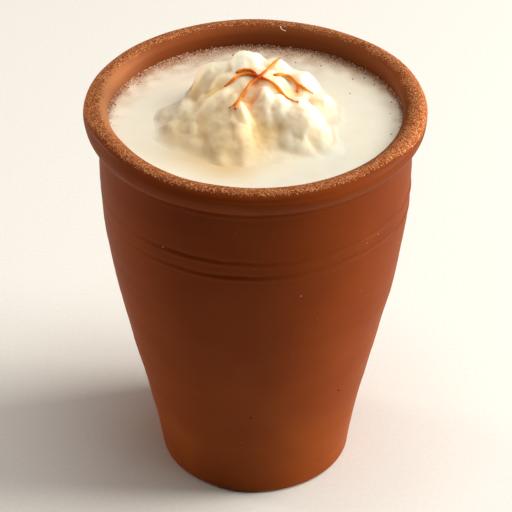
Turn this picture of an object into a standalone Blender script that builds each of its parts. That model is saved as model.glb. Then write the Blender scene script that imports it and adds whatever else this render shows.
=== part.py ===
"""A clay cup of lassi with a heap of malai and saffron threads on top.

Sizes are in millimetres and turned to metres by MM. The cup stands on z = 0 with its
axis on Z, and the side that faces -Y is its front.
"""

import math

import bmesh
import bpy
from mathutils import Vector, noise

MM = 0.001
GAP = 0.3

# The thrown clay cup: its outer radius at even steps from the foot to the neck.
WALL_RADII = (26.2, 29.6, 34.05, 38.15, 40.65, 40.95)
NECK_HEIGHT = 102.6
FOOT_ROUNDING = 1.5
TURNED_SIDES = 64

# Its rolled lip is an oval bead, widest on the outside below the crest.
RIM_HEIGHT = 111.3
LIP_CREST_RADIUS = 41.4
LIP_OUTER_RADIUS = 44.5
LIP_INNER_RADIUS = 38.3
LIP_WIDEST_HEIGHT = 108.6

# Low ridges that the thrower's finger left round the wall.
RING_HEIGHTS = (101.3, 87.2, 82.7)
RING_RISE = 0.3
RING_HALF_WIDTH = 0.9

# The wall thins from the floor to the neck.
FLOOR_THICKNESS = 7.0
FLOOR_FILLET = 6.0
WALL_THICK_LOW = 4.4
WALL_THICK_HIGH = 1.95

# The drink fills the cup to just under the lip.
DRINK_LEVEL = 104.7
DRINK_DEPTH_STEP = 12.0

# The malai heap floats, sunk a little way into the drink.
HEAP_CENTRE = (-1.5, -1.0)
HEAP_SINK = 2.2
HEAP_EDGE = 0.5
HEAP_SEARCH = 32.0
HEAP_SIDES = 76
HEAP_RINGS = 21
CRAG_SIZE = 3.6
CRAG_SHIFT = 1.3
CREASE_BLEND = 0.35

# Each clump of the heap is a rounded cap: x and y of its top, the height of its top above
# the drink, its half length, its half width, how far it drops over them, and its turn.
CLUMPS = {
    "core": (-1.5, -0.5, 11.2, 21.0, 18.0, 11.0, 0),
    "crown": (-1.5, 7.2, 17.0, 5.2, 5.0, 6.5, 20),
    "crown_left": (-8.4, 7.6, 13.2, 6.2, 4.8, 5.0, 10),
    "crown_right": (5.2, 8.0, 13.8, 5.4, 4.6, 4.6, -15),
    "saffron_seat": (1.0, 2.6, 14.0, 8.0, 5.0, 4.4, -6),
    "right_upper": (11.2, 6.0, 11.4, 6.6, 6.6, 6.0, -40),
    "right_low": (17.0, 2.6, 6.4, 5.6, 7.4, 6.2, 10),
    "left_upper": (-12.4, 5.0, 9.8, 5.4, 5.0, 5.5, 20),
    "left_saddle": (-7.6, -2.6, 12.0, 7.4, 3.8, 4.2, 36),
    "left_inner": (-13.0, -5.2, 9.2, 7.6, 5.8, 5.6, 20),
    "left_outer": (-17.4, -6.6, 7.0, 8.2, 7.4, 7.2, 30),
    "left_front": (-15.4, -12.2, 5.6, 6.8, 6.0, 6.2, 40),
    "front_left": (-8.4, -15.2, 7.2, 8.0, 7.4, 8.2, 60),
    "front_ridge": (-4.0, -7.8, 11.6, 3.6, 9.2, 9.2, 33),
    "front_flake": (2.2, -5.5, 12.8, 3.0, 6.6, 6.0, 15),
    "right_flake": (6.8, -6.0, 11.2, 4.0, 4.2, 5.0, -12),
    "right_front": (11.2, -5.6, 10.0, 5.0, 12.4, 9.0, 32),
    "low_ridge": (10.4, -15.2, 3.2, 6.0, 2.2, 2.2, -25),
    "foot_front": (6.5, -17.0, 1.2, 11.0, 4.0, 1.6, -4),
    "foot_right": (18.0, -14.4, 1.4, 5.0, 4.0, 2.0, 0),
    "back_left": (-10.0, 12.5, 7.8, 8.6, 7.0, 8.0, 10),
    "back_middle": (3.0, 13.6, 9.4, 9.0, 6.6, 9.0, -8),
    "back_right": (12.6, 10.4, 7.6, 7.4, 7.0, 8.0, -30),
    "far_left": (-17.0, 2.4, 5.2, 6.0, 7.0, 6.0, 0),
}

# The saffron threads: the way each one takes over the heap, seen from above.
THREAD_RADIUS = 0.42
THREAD_TIP = 0.45
THREAD_STEP = 0.9
THREAD_FEEL = 0.9
HUB = (1.0, 0.4)
HUB_SPREAD = 2.6
THREADS = {
    "saffron_long": ((6.4, 8.6), (3.8, 5.0), HUB, (-1.6, -2.2), (-3.7, -5.4), (-6.2, -7.9)),
    "saffron_arc": ((-7.9, -2.2), (-5.8, 1.0), (-3.6, 2.0), HUB, (5.2, -1.0), (7.8, -5.2), (11.0, -7.0)),
    "saffron_short": ((-5.2, 4.2), (-3.4, 4.6), (0.0, 2.9)),
    "saffron_side": ((4.6, 2.6), (7.2, 4.8), (9.4, 4.2), (12.2, 2.2), (14.6, 1.4)),
}
LIFTED_THREAD = "saffron_long"


def material(name, colour, roughness, subsurface=0.0):
    """A plain Principled finish."""
    made = bpy.data.materials.new(name)
    made.use_nodes = True
    shader = made.node_tree.nodes["Principled BSDF"]
    shader.inputs["Base Color"].default_value = (*colour, 1.0)
    shader.inputs["Roughness"].default_value = roughness
    shader.inputs["Subsurface Weight"].default_value = subsurface
    return made


def add_object(name, data, finish):
    """Link a new object with one finish."""
    made = bpy.data.objects.new(name, data)
    bpy.context.scene.collection.objects.link(made)
    data.materials.append(finish)
    return made


def add_mesh(name, bm, finish):
    """Turn a bmesh into an object, shaded smooth but for its sharp edges."""
    mesh = bpy.data.meshes.new(name)
    bm.to_mesh(mesh)
    bm.free()
    mesh.shade_smooth()
    mesh.set_sharp_from_angle(angle=math.radians(40))
    return add_object(name, mesh, finish)


def turned(outline):
    """Spin an outline of (radius, height) that starts and ends on the axis."""
    bm = bmesh.new()
    points = [bm.verts.new((radius * MM, 0, height * MM)) for radius, height in outline]
    edges = [bm.edges.new(pair) for pair in zip(points, points[1:])]
    bmesh.ops.spin(
        bm, geom=points + edges, cent=(0, 0, 0), axis=(0, 0, 1),
        angle=math.tau, steps=TURNED_SIDES, use_merge=True,
    )
    bmesh.ops.remove_doubles(bm, verts=bm.verts, dist=0.001 * MM)
    bmesh.ops.recalc_face_normals(bm, faces=bm.faces)
    return bm


def between(before, start, end, after, t):
    """One value on the smooth curve through four values in a row."""
    slope_in = (end - before) / 2
    slope_out = (after - start) / 2
    t2 = t * t
    t3 = t2 * t
    return (
        (2 * t3 - 3 * t2 + 1) * start + (t3 - 2 * t2 + t) * slope_in
        + (3 * t2 - 2 * t3) * end + (t3 - t2) * slope_out
    )


def wall_radius(height):
    """Outer radius of the wall, without its rings."""
    steps = len(WALL_RADII) - 1
    place = min(max(height / NECK_HEIGHT, 0), 1) * steps
    first = min(int(place), steps - 1)
    rows = [min(max(first + offset, 0), steps) for offset in (-1, 0, 1, 2)]
    return between(*(WALL_RADII[row] for row in rows), place - first)


def ring_swell(height):
    """How far the finger ridges stand out at a height."""
    swell = 0
    for ring in RING_HEIGHTS:
        reach = abs(height - ring) / RING_HALF_WIDTH
        swell = max(swell, RING_RISE * (1 - reach * reach))
    return swell


def inner_radius(height):
    """Radius of the hollow, below the lip."""
    share = min(max(height / NECK_HEIGHT, 0), 1)
    thickness = WALL_THICK_LOW + (WALL_THICK_HIGH - WALL_THICK_LOW) * share
    return wall_radius(height) - thickness


def arc(centre, across, up, start, end, steps):
    """Points on an oval arc, its angles in degrees from +radius towards +height."""
    angles = [math.radians(start + (end - start) * step / steps) for step in range(steps + 1)]
    return [
        (centre[0] + across * math.cos(angle), centre[1] + up * math.sin(angle))
        for angle in angles
    ]


def hollow_outline(inset, top):
    """The hollow from the middle of its floor up to a height, inset on all sides."""
    floor = FLOOR_THICKNESS + inset
    fillet_top = FLOOR_THICKNESS + FLOOR_FILLET
    side = inner_radius(fillet_top) - inset
    rounding = FLOOR_FILLET - inset
    outline = [(0, floor)]
    outline += arc((side - rounding, fillet_top), rounding, rounding, -90, 0, 4)
    steps = round((top - fillet_top) / DRINK_DEPTH_STEP)
    for step in range(1, steps + 1):
        height = fillet_top + (top - fillet_top) * step / steps
        outline.append((inner_radius(height) - inset, height))
    return outline


def wall_heights():
    """Heights down the outer wall: its rings, and even steps between them."""
    ring_points = []
    for ring in RING_HEIGHTS:
        ring_points += [ring + RING_HALF_WIDTH, ring, ring - RING_HALF_WIDTH]
    lowest = min(ring_points)
    heights = sorted(ring_points, reverse=True)
    steps = 9
    for step in range(1, steps + 1):
        heights.append(lowest + (2 * FOOT_ROUNDING - lowest) * step / steps)
    middle = (RING_HEIGHTS[0] + RING_HEIGHTS[1]) / 2
    return sorted(heights + [middle], reverse=True)


def cup_outline():
    """The cup from its inner floor, up over the lip and down to the foot."""
    outline = hollow_outline(0, DRINK_LEVEL)
    crest = (LIP_CREST_RADIUS, LIP_WIDEST_HEIGHT)
    rise = RIM_HEIGHT - LIP_WIDEST_HEIGHT
    outline += arc(crest, LIP_CREST_RADIUS - LIP_INNER_RADIUS, rise, 180, 90, 5)
    outline += arc(crest, LIP_OUTER_RADIUS - LIP_CREST_RADIUS, rise, 90, 0, 5)[1:]
    neck = wall_radius(NECK_HEIGHT)
    bead = (neck, LIP_WIDEST_HEIGHT)
    fall = LIP_WIDEST_HEIGHT - NECK_HEIGHT
    outline += arc(bead, LIP_OUTER_RADIUS - neck, fall, 0, -90, 5)[1:]
    outline += [(wall_radius(height) + ring_swell(height), height) for height in wall_heights()]
    foot = wall_radius(FOOT_ROUNDING) - FOOT_ROUNDING
    outline += arc((foot, FOOT_ROUNDING), FOOT_ROUNDING, FOOT_ROUNDING, 0, -90, 3)
    outline.append((0, 0))
    return outline


def heap_height(x, y):
    """Height of the malai above the drink, below zero where there is none."""
    place = Vector((x, y, 0)) / CRAG_SIZE
    x += CRAG_SHIFT * noise.noise(place + Vector((7.3, 0, 0)))
    y += CRAG_SHIFT * noise.noise(place + Vector((0, 0, 4.1)))
    highest = -HEAP_SINK
    for centre_x, centre_y, top, length, width, drop, turn in CLUMPS.values():
        angle = math.radians(turn)
        along = (x - centre_x) * math.cos(angle) + (y - centre_y) * math.sin(angle)
        across = (y - centre_y) * math.cos(angle) - (x - centre_x) * math.sin(angle)
        height = top - drop * ((along / length) ** 2 + (across / width) ** 2)
        nearness = max(0, 1 - abs(height - highest) / (4 * CREASE_BLEND))
        highest = max(height, highest) + CREASE_BLEND * nearness * nearness
    return highest


def heap_outline():
    """Radius of the heap where it meets the drink, at each step round its centre."""
    reaches = []
    for side in range(HEAP_SIDES):
        angle = math.tau * side / HEAP_SIDES
        reach = HEAP_SEARCH
        while heap_height(*heap_place(reach, angle)) < HEAP_EDGE:
            reach -= 0.1
        reaches.append(reach)
    return [
        (reaches[side - 1] + 2 * reaches[side] + reaches[(side + 1) % HEAP_SIDES]) / 4
        for side in range(HEAP_SIDES)
    ]


def heap_place(reach, angle):
    """Plan position at a distance and an angle from the heap's centre."""
    return HEAP_CENTRE[0] + reach * math.cos(angle), HEAP_CENTRE[1] + reach * math.sin(angle)


def grown(corners, distance):
    """A closed plan outline moved outwards."""
    moved = []
    for index, corner in enumerate(corners):
        along = Vector(corners[(index + 1) % len(corners)]) - Vector(corners[index - 1])
        outward = Vector((along.y, -along.x)).normalized()
        moved.append(tuple(Vector(corner) + outward * distance))
    return moved


def stack(loops, bottom_tip, top_tip):
    """A closed body from loops of points, lowest first, with a point at each end."""
    bm = bmesh.new()
    rows = [[bm.verts.new(Vector(point) * MM) for point in loop] for loop in loops]
    low = bm.verts.new(Vector(bottom_tip) * MM)
    high = bm.verts.new(Vector(top_tip) * MM)
    count = len(rows[0])
    for side in range(count):
        after = (side + 1) % count
        bm.faces.new((low, rows[0][after], rows[0][side]))
        for lower, upper in zip(rows, rows[1:]):
            bm.faces.new((lower[side], lower[after], upper[after], upper[side]))
        bm.faces.new((rows[-1][side], rows[-1][after], high))
    return bm


def make_cup():
    """The clay cup, one turned body."""
    clay = material("terracotta", (0.30, 0.105, 0.042), 0.85)
    return add_mesh("clay_cup", turned(cup_outline()), clay)


def make_drink(pocket):
    """The lassi, with the pocket that the malai floats in."""
    outline = hollow_outline(GAP, DRINK_LEVEL)
    outline.append((0, DRINK_LEVEL))
    white = material("lassi", (0.90, 0.84, 0.72), 0.3, 0.3)
    drink = add_mesh("lassi", turned(outline), white)
    cut = drink.modifiers.new("malai pocket", "BOOLEAN")
    cut.operation = "DIFFERENCE"
    cut.object = pocket
    return drink


def make_heap(corners):
    """The malai: its crags above the drink and a plug that sits in the pocket."""
    plug_bottom = DRINK_LEVEL - HEAP_SINK
    loops = [[(x, y, plug_bottom) for x, y in corners]]
    for ring in range(HEAP_RINGS, 0, -1):
        share = ring / HEAP_RINGS
        loop = []
        for corner_x, corner_y in corners:
            x = HEAP_CENTRE[0] + (corner_x - HEAP_CENTRE[0]) * share
            y = HEAP_CENTRE[1] + (corner_y - HEAP_CENTRE[1]) * share
            loop.append((x, y, DRINK_LEVEL + max(heap_height(x, y), HEAP_EDGE)))
        loops.append(loop)
    peak = (*HEAP_CENTRE, DRINK_LEVEL + heap_height(*HEAP_CENTRE))
    body = stack(loops, (*HEAP_CENTRE, plug_bottom), peak)
    return add_mesh("malai_mound", body, material("malai", (0.91, 0.83, 0.66), 0.45, 0.4))


def make_pocket(corners):
    """The cutter for the drink: the heap's plug, larger by the gap."""
    wide = grown(corners, GAP)
    floor = DRINK_LEVEL - HEAP_SINK - GAP
    above = DRINK_LEVEL + FLOOR_THICKNESS
    loops = [[(x, y, height) for x, y in wide] for height in (floor, above)]
    body = stack(loops, (*HEAP_CENTRE, floor), (*HEAP_CENTRE, above))
    cutter = add_mesh("pocket_cutter", body, material("cutter", (0.5, 0.5, 0.5), 0.5))
    cutter.hide_render = True
    cutter.display_type = "WIRE"
    return cutter


def smooth_way(points):
    """Plan points on a smooth curve through the given ones, a thread step apart."""
    way = []
    for index in range(len(points) - 1):
        rows = [points[min(max(index + offset, 0), len(points) - 1)] for offset in (-1, 0, 1, 2)]
        length = (Vector(rows[2]) - Vector(rows[1])).length
        steps = max(1, round(length / THREAD_STEP))
        for step in range(steps):
            t = step / steps
            way.append(tuple(between(*(row[axis] for row in rows), t) for axis in (0, 1)))
    return way + [points[-1]]


def clear_height(x, y):
    """Height above the drink at which a thread's axis clears the malai round it."""
    around = [(x, y)]
    for side in range(8):
        angle = math.tau * side / 8
        around.append((x + THREAD_FEEL * math.cos(angle), y + THREAD_FEEL * math.sin(angle)))
    return max(heap_height(*spot) for spot in around) + THREAD_RADIUS + GAP


def make_thread(name, points, finish):
    """One saffron thread, a tapered tube laid over the heap."""
    way = smooth_way(points)
    curve = bpy.data.curves.new(name, "CURVE")
    curve.dimensions = "3D"
    curve.bevel_depth = THREAD_RADIUS * MM
    curve.bevel_resolution = 1
    curve.use_fill_caps = True
    line = curve.splines.new("POLY")
    line.points.add(len(way) - 1)
    heights = [clear_height(x, y) for x, y in way]
    for index, (x, y) in enumerate(way):
        near = heights[max(index - 1, 0):index + 2]
        height = DRINK_LEVEL + max(heights[index], sum(near) / len(near))
        if name == LIFTED_THREAD:
            nearness = max(0, 1 - math.dist((x, y), HUB) / (2 * HUB_SPREAD))
            height += (2 * THREAD_RADIUS + GAP) * min(1, 2 * nearness)
        end_share = min(index, len(way) - 1 - index) / (len(way) - 1)
        line.points[index].co = (x * MM, y * MM, height * MM, 1)
        line.points[index].radius = min(1, THREAD_TIP + 3 * end_share)
    return add_object(name, curve, finish)


def main():
    """Clear the scene and make every piece."""
    for old in list(bpy.data.objects):
        bpy.data.objects.remove(old, do_unlink=True)
    corners = [
        heap_place(reach, math.tau * side / HEAP_SIDES)
        for side, reach in enumerate(heap_outline())
    ]
    make_cup()
    make_drink(make_pocket(corners))
    make_heap(corners)
    saffron = material("saffron", (0.72, 0.13, 0.012), 0.5)
    for name, points in THREADS.items():
        make_thread(name, points, saffron)


main()
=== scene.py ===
"""Looks of a clay cup of lassi with a heap of malai and saffron threads.

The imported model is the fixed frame. Sizes here are in millimetres, turned to metres by MM.
"""

import enum
import logging
import math
import random
from collections.abc import Sequence
from dataclasses import dataclass, field
from typing import NamedTuple

import bmesh
import bpy
import numpy as np
from bpy.types import Material, Mesh, Node, NodeSocket, NodeTree, Object
from mathutils import Matrix, Vector, noise
from mathutils.bvhtree import BVHTree


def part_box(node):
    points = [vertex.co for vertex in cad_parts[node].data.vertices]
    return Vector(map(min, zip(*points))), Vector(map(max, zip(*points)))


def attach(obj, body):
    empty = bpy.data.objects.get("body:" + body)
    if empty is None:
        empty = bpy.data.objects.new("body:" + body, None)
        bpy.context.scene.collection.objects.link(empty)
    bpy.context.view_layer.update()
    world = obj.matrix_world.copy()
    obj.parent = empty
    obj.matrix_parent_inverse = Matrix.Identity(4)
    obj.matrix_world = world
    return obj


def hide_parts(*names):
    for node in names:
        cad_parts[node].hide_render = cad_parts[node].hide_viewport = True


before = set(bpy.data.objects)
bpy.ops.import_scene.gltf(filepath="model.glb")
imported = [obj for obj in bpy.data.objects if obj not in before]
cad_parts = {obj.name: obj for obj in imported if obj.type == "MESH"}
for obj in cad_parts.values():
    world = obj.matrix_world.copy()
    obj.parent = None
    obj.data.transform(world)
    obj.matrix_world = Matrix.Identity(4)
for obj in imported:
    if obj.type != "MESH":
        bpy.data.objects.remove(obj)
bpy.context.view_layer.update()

MM = 0.001
BODY = "root"
LOG = logging.getLogger("lassi")
# Points closer than this, in millimetres, are taken as one.
SAME_PLACE = 0.001
# The value that a noise texture swings round.
NOISE_MIDDLE = 0.5
# The Mix node's colour sockets: both inputs and the output.
MIX_A, MIX_B, MIX_OUT = 6, 7, 2

Pair = tuple[float, float]
Pixel = Pair
Colour = tuple[float, float, float, float]
# A colour ramp's places, lowest first, each with its sRGB hex colour.
Stops = tuple[tuple[float, str], ...]


def srgb(code: str) -> Colour:
    """Turn an sRGB hex colour to linear values.

    Args:
        code: six hex digits.

    Returns:
        Linear red, green, blue and an alpha of one.
    """
    channels = [int(code[place:place + 2], 16) / 255 for place in (0, 2, 4)]
    linear = [c / 12.92 if c <= 0.04045 else ((c + 0.055) / 1.055) ** 2.4 for c in channels]
    return (linear[0], linear[1], linear[2], 1.0)


def fill_inputs(tree: NodeTree, node: Node, inputs: dict) -> None:
    """Set a node's inputs to values, or link them to output sockets.

    Args:
        tree: the node tree.
        node: the node.
        inputs: values or output sockets, by the name or number of the input.
    """
    for name, value in inputs.items():
        if isinstance(value, NodeSocket):
            tree.links.new(value, node.inputs[name])
        else:
            node.inputs[name].default_value = value


def add_node(
    tree: NodeTree, kind: str, inputs: dict | None = None, stops: Stops = (), **settings: object
) -> Node:
    """Add a shader node with its settings, values and links.

    Args:
        tree: the node tree.
        kind: the node's type name.
        inputs: values or output sockets, by the name or number of the input.
        stops: the places and colours of a colour ramp.
        settings: attributes of the node.

    Returns:
        The new node.
    """
    node = tree.nodes.new(kind)
    for name, value in settings.items():
        setattr(node, name, value)
    fill_inputs(tree, node, inputs or {})
    if stops:
        elements = node.color_ramp.elements
        while len(elements) < len(stops):
            elements.new(0.5)
        for element, (place, code) in zip(elements, stops):
            element.position = place
            element.color = srgb(code)
    return node


def grain_scale(size_mm: float) -> float:
    """Noise scale on Object coordinates whose grains are about a size across."""
    return 1 / (size_mm * MM)


def new_material(name: str) -> tuple[Material, NodeTree, Node, NodeSocket]:
    """Start a material.

    Args:
        name: the material's name.

    Returns:
        The material, its tree, its Principled shader and its Object coordinates socket.
    """
    made = bpy.data.materials.new(name)
    made.use_nodes = True
    tree = made.node_tree
    place = add_node(tree, "ShaderNodeTexCoord").outputs["Object"]
    return made, tree, tree.nodes["Principled BSDF"], place


def clamp(value: float, low: float = 0.0, high: float = 1.0) -> float:
    """Keep a number between two limits."""
    return min(max(value, low), high)


def step_up(value: float, low: float, high: float) -> float:
    """Smooth rise from nought at low to one at high."""
    share = clamp((value - low) / (high - low))
    return share * share * (3 - 2 * share)


def between(rows: Sequence[float], t: float) -> float:
    """Value on the smooth curve through four values in a row, between the middle two.

    Args:
        rows: the four values.
        t: the place between the middle two, from nought to one.

    Returns:
        The value there.
    """
    before, start, end, after = rows
    slope_in = (end - before) / 2
    slope_out = (after - start) / 2
    t2 = t * t
    t3 = t2 * t
    return (
        (2 * t3 - 3 * t2 + 1) * start + (t3 - 2 * t2 + t) * slope_in
        + (3 * t2 - 2 * t3) * end + (t3 - t2) * slope_out
    )


def four_around(values: Sequence, first: int) -> list:
    """The two values of a stretch and one before and after it, held at the list's own ends."""
    last = len(values) - 1
    return [values[min(max(first + offset, 0), last)] for offset in (-1, 0, 1, 2)]


def smooth_way(points: Sequence[Pair], step: float) -> list[Pair]:
    """Points on a smooth curve through the given ones.

    Args:
        points: the points to pass through.
        step: the spacing wanted.

    Returns:
        The dense list, both ends included.
    """
    way: list[Pair] = []
    for index in range(len(points) - 1):
        rows = four_around(points, index)
        count = max(1, round(math.dist(rows[1], rows[2]) / step))
        for part in range(count):
            t = part / count
            way.append(tuple(between([row[axis] for row in rows], t) for axis in (0, 1)))
    way.append(points[-1])
    return way


def oval_arc(
    centre: Pair, across: float, up: float, start: float, end: float, steps: int
) -> list[Pair]:
    """Points on an oval arc, its angles in degrees from +radius towards +height."""
    angles = [math.radians(start + (end - start) * step / steps) for step in range(steps + 1)]
    return [
        (centre[0] + across * math.cos(angle), centre[1] + up * math.sin(angle))
        for angle in angles
    ]


def spun(outline: list[Pair], sides: int) -> bmesh.types.BMesh:
    """Spin an outline of (radius, height) that starts and ends on the axis.

    Args:
        outline: the points in millimetres.
        sides: the number of steps round.

    Returns:
        A closed bmesh in millimetres.
    """
    bm = bmesh.new()
    points = [bm.verts.new((radius, 0, height)) for radius, height in outline]
    edges = [bm.edges.new(pair) for pair in zip(points, points[1:])]
    bmesh.ops.spin(
        bm, geom=points + edges, cent=(0, 0, 0), axis=(0, 0, 1),
        angle=math.tau, steps=sides, use_merge=True,
    )
    bmesh.ops.remove_doubles(bm, verts=bm.verts, dist=SAME_PLACE)
    bmesh.ops.recalc_face_normals(bm, faces=bm.faces)
    return bm


def link_object(made: Object) -> Object:
    """Put an object in the scene."""
    bpy.context.scene.collection.objects.link(made)
    return made


def link_mesh(name: str, mesh: Mesh, looks: Material) -> Object:
    """Put a mesh in the scene as a smooth object with one material.

    Args:
        name: the piece's name.
        mesh: its mesh.
        looks: its material.

    Returns:
        The linked object.
    """
    mesh.shade_smooth()
    mesh.materials.append(looks)
    return link_object(bpy.data.objects.new(name, mesh))


def new_layers(bm: bmesh.types.BMesh, *names: str) -> list:
    """Add layers of numbers at a shape's points, for its material to read by name."""
    return [bm.verts.layers.float.new(name) for name in names]


def finish_mesh(name: str, bm: bmesh.types.BMesh, looks: Material) -> Object:
    """Turn a bmesh in millimetres into a smooth object at the origin.

    Args:
        name: the piece's name.
        bm: the shape, freed here.
        looks: its material.

    Returns:
        The linked object.
    """
    bmesh.ops.scale(bm, vec=(MM, MM, MM), verts=bm.verts)
    mesh = bpy.data.meshes.new(name)
    bm.to_mesh(mesh)
    bm.free()
    return link_mesh(name, mesh, looks)


def settle(piece: Object, slot: str, *nodes: str) -> None:
    """Tell the frame what a piece rides on and which CAD nodes it stands for.

    Args:
        piece: the finished piece.
        slot: not used.
        nodes: the CAD nodes that it replaces.
    """
    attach(piece, BODY)
    if nodes:
        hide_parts(*nodes)
    LOG.info("%s: %d faces", piece.name, len(piece.data.polygons))


def surface_of(piece: Object) -> BVHTree:
    """Gather a piece's faces for finding what lies under a ray.

    Args:
        piece: the finished piece.

    Returns:
        Its faces, in millimetres.
    """
    bm = bmesh.new()
    bm.from_mesh(piece.data)
    bmesh.ops.scale(bm, vec=(1 / MM, 1 / MM, 1 / MM), verts=bm.verts)
    tree = BVHTree.FromBMesh(bm)
    bm.free()
    return tree


@dataclass(frozen=True)
class PhotoView:
    """The camera, at the photograph's angle, and rays through its pixels."""

    elevation: float = 34.56
    distance: float = 600.35
    aim_height: float = 61.76
    focal_px: float = 2217.5
    width_px: int = 512
    axis_px: float = 255.2
    sensor: float = 36.0

    def place(self) -> Vector:
        """Where the camera stands."""
        tilt = math.radians(self.elevation)
        return Vector((
            0, -self.distance * math.cos(tilt), self.aim_height + self.distance * math.sin(tilt)
        ))

    def direction(self, pixel: Pixel) -> Vector:
        """Find which way a pixel's ray goes.

        Args:
            pixel: the place in the photograph.

        Returns:
            The direction, one long.
        """
        tilt = math.radians(self.elevation)
        right = (pixel[0] - self.axis_px) / self.focal_px
        rise = (self.width_px / 2 - pixel[1]) / self.focal_px
        ray = Vector((
            right,
            math.cos(tilt) + rise * math.sin(tilt),
            rise * math.cos(tilt) - math.sin(tilt),
        ))
        return ray.normalized()

    def reach(self, surface: BVHTree, pixel: Pixel) -> float | None:
        """Distance along a pixel's ray to a surface, or None where it misses."""
        return surface.ray_cast(self.place(), self.direction(pixel))[3]

    def along(self, pixel: Pixel, reach: float) -> Vector:
        """The point at a distance along a pixel's ray."""
        return self.place() + self.direction(pixel) * reach

    def meet(self, surface: BVHTree, pixel: Pixel) -> Vector:
        """The point where a pixel's ray meets a surface."""
        return self.along(pixel, self.reach(surface, pixel))

    def build(self) -> None:
        """Make the camera."""
        data = bpy.data.cameras.new("photo_camera")
        data.sensor_width = self.sensor
        data.lens = self.focal_px / self.width_px * self.sensor
        data.shift_x = (self.width_px / 2 - self.axis_px) / self.width_px
        camera = link_object(bpy.data.objects.new("photo_camera", data))
        camera.location = self.place() * MM
        camera.rotation_euler = (math.radians(90 - self.elevation), 0, 0)
        bpy.context.scene.camera = camera


@dataclass(frozen=True)
class FiredClay:
    """Unglazed terracotta, thrown and wood fired.

    The wall is smoothed by a wet hand, so it is satin and even. Its colour is painted darker
    higher up and paler towards the foot: painted shade. The lip is left sandy: its grains vary in
    tone, and their colour follows their relief, pits painted dark and raised grains pale, partly
    painted shade and painted highlight. The finest of the real grit would not show, so the sand
    is drawn at 0.23 mm, about one pixel of the render. A patch inside the lip at the left is
    painted paler: painted light. All round inside the lip the clay is faintly paler with wear.
    Roughness and relief are for the wall and for the sand.
    """

    wall: Stops = ((0.34, "6B2D0B"), (0.5, "79360E"), (0.66, "8B4518"))
    # Sand partly follows relief: painted shade in pits, painted highlight on raised grains.
    sand_and_painted_relief: Stops = ((0.08, "6A3015"), (0.2, "985025"), (0.6, "A55F35"), (1.0, "D69D70"))
    # The paler clay of wear, also used for a patch at the left that is painted light.
    worn_and_painted_light: str = "BE7E54"
    cloud_mm: float = 22.0
    cloud_share: float = 0.3
    # Painted shade: the wall's colour is darker higher up and paler towards the foot.
    painted_shade_heights: Pair = (15.0, 100.0)
    painted_shade_tones: Pair = (0.39, 0.24)
    grain_mm: float = 0.23
    sandy_blend: float = 0.15
    roughness: Pair = (0.5, 0.8)
    relief: Pair = (0.03, 0.4)
    relief_mm: float = 0.3

    def build(self) -> Material:
        """Make the material.

        Returns:
            The terracotta.
        """
        made, tree, shader, place = new_material("fired_terracotta")
        grit = add_node(tree, "ShaderNodeAttribute", attribute_name="grit").outputs["Fac"]
        worn_and_painted_light = add_node(tree, "ShaderNodeAttribute", attribute_name="worn_and_painted_light").outputs["Fac"]
        cloud = add_node(tree, "ShaderNodeTexNoise", {
            "Vector": place, "Scale": grain_scale(self.cloud_mm), "Detail": 4.0, "Roughness": 0.5,
        }).outputs["Fac"]
        height = add_node(tree, "ShaderNodeSeparateXYZ", {"Vector": place}).outputs["Z"]
        # Painted shade: darker higher up the wall, paler towards the foot.
        painted_shade = add_node(tree, "ShaderNodeMapRange", {
            "Value": height,
            "From Min": self.painted_shade_heights[0] * MM, "From Max": self.painted_shade_heights[1] * MM,
            "To Min": self.painted_shade_tones[0], "To Max": self.painted_shade_tones[1],
        }).outputs["Result"]
        cloud = add_node(tree, "ShaderNodeMath", {0: cloud, 1: self.cloud_share, 2: painted_shade},
                         operation="MULTIPLY_ADD").outputs[0]
        wall = add_node(tree, "ShaderNodeValToRGB", {"Fac": cloud}, stops=self.wall)
        # Paler with wear, and at the left paler as painted light.
        wall = add_node(tree, "ShaderNodeMix", {
            "Factor": worn_and_painted_light, MIX_A: wall.outputs["Color"], MIX_B: srgb(self.worn_and_painted_light),
        }, data_type="RGBA").outputs[MIX_OUT]
        cells = add_node(tree, "ShaderNodeTexVoronoi", {
            "Vector": place, "Scale": grain_scale(self.grain_mm), "Randomness": 1.0,
        }).outputs["Color"]
        chances = add_node(tree, "ShaderNodeSeparateColor", {"Color": cells}).outputs
        grain = chances["Red"]
        bare = add_node(tree, "ShaderNodeMath", {0: grit, 1: chances["Green"]},
                        operation="SUBTRACT").outputs[0]
        sandy = add_node(tree, "ShaderNodeMapRange", {
            "Value": bare, "From Min": 0.0, "From Max": self.sandy_blend,
        }).outputs["Result"]
        # Same grain as the relief: painted shade in pits, painted highlight on tops.
        sand_and_painted_relief = add_node(tree, "ShaderNodeValToRGB", {"Fac": grain}, stops=self.sand_and_painted_relief)
        colour = add_node(tree, "ShaderNodeMix", {
            "Factor": sandy, MIX_A: wall, MIX_B: sand_and_painted_relief.outputs["Color"],
        }, data_type="RGBA").outputs[MIX_OUT]
        rough, depth = (
            add_node(tree, "ShaderNodeMapRange", {
                "Value": grit, "To Min": low, "To Max": high,
            }).outputs["Result"]
            for low, high in (self.roughness, self.relief)
        )
        relief = add_node(tree, "ShaderNodeMath", {0: grain, 1: depth}, operation="MULTIPLY")
        bump = add_node(tree, "ShaderNodeBump", {
            "Height": relief.outputs[0], "Strength": 1.0, "Distance": self.relief_mm * MM,
        }).outputs["Normal"]
        fill_inputs(tree, shader, {
            "Base Color": colour,
            "Roughness": rough,
            "Normal": bump,
            "Specular IOR Level": 0.04,
            "Sheen Weight": 0.05,
            "Sheen Roughness": 0.3,
            "Sheen Tint": srgb("FFD0A0"),
        })
        return made


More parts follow.
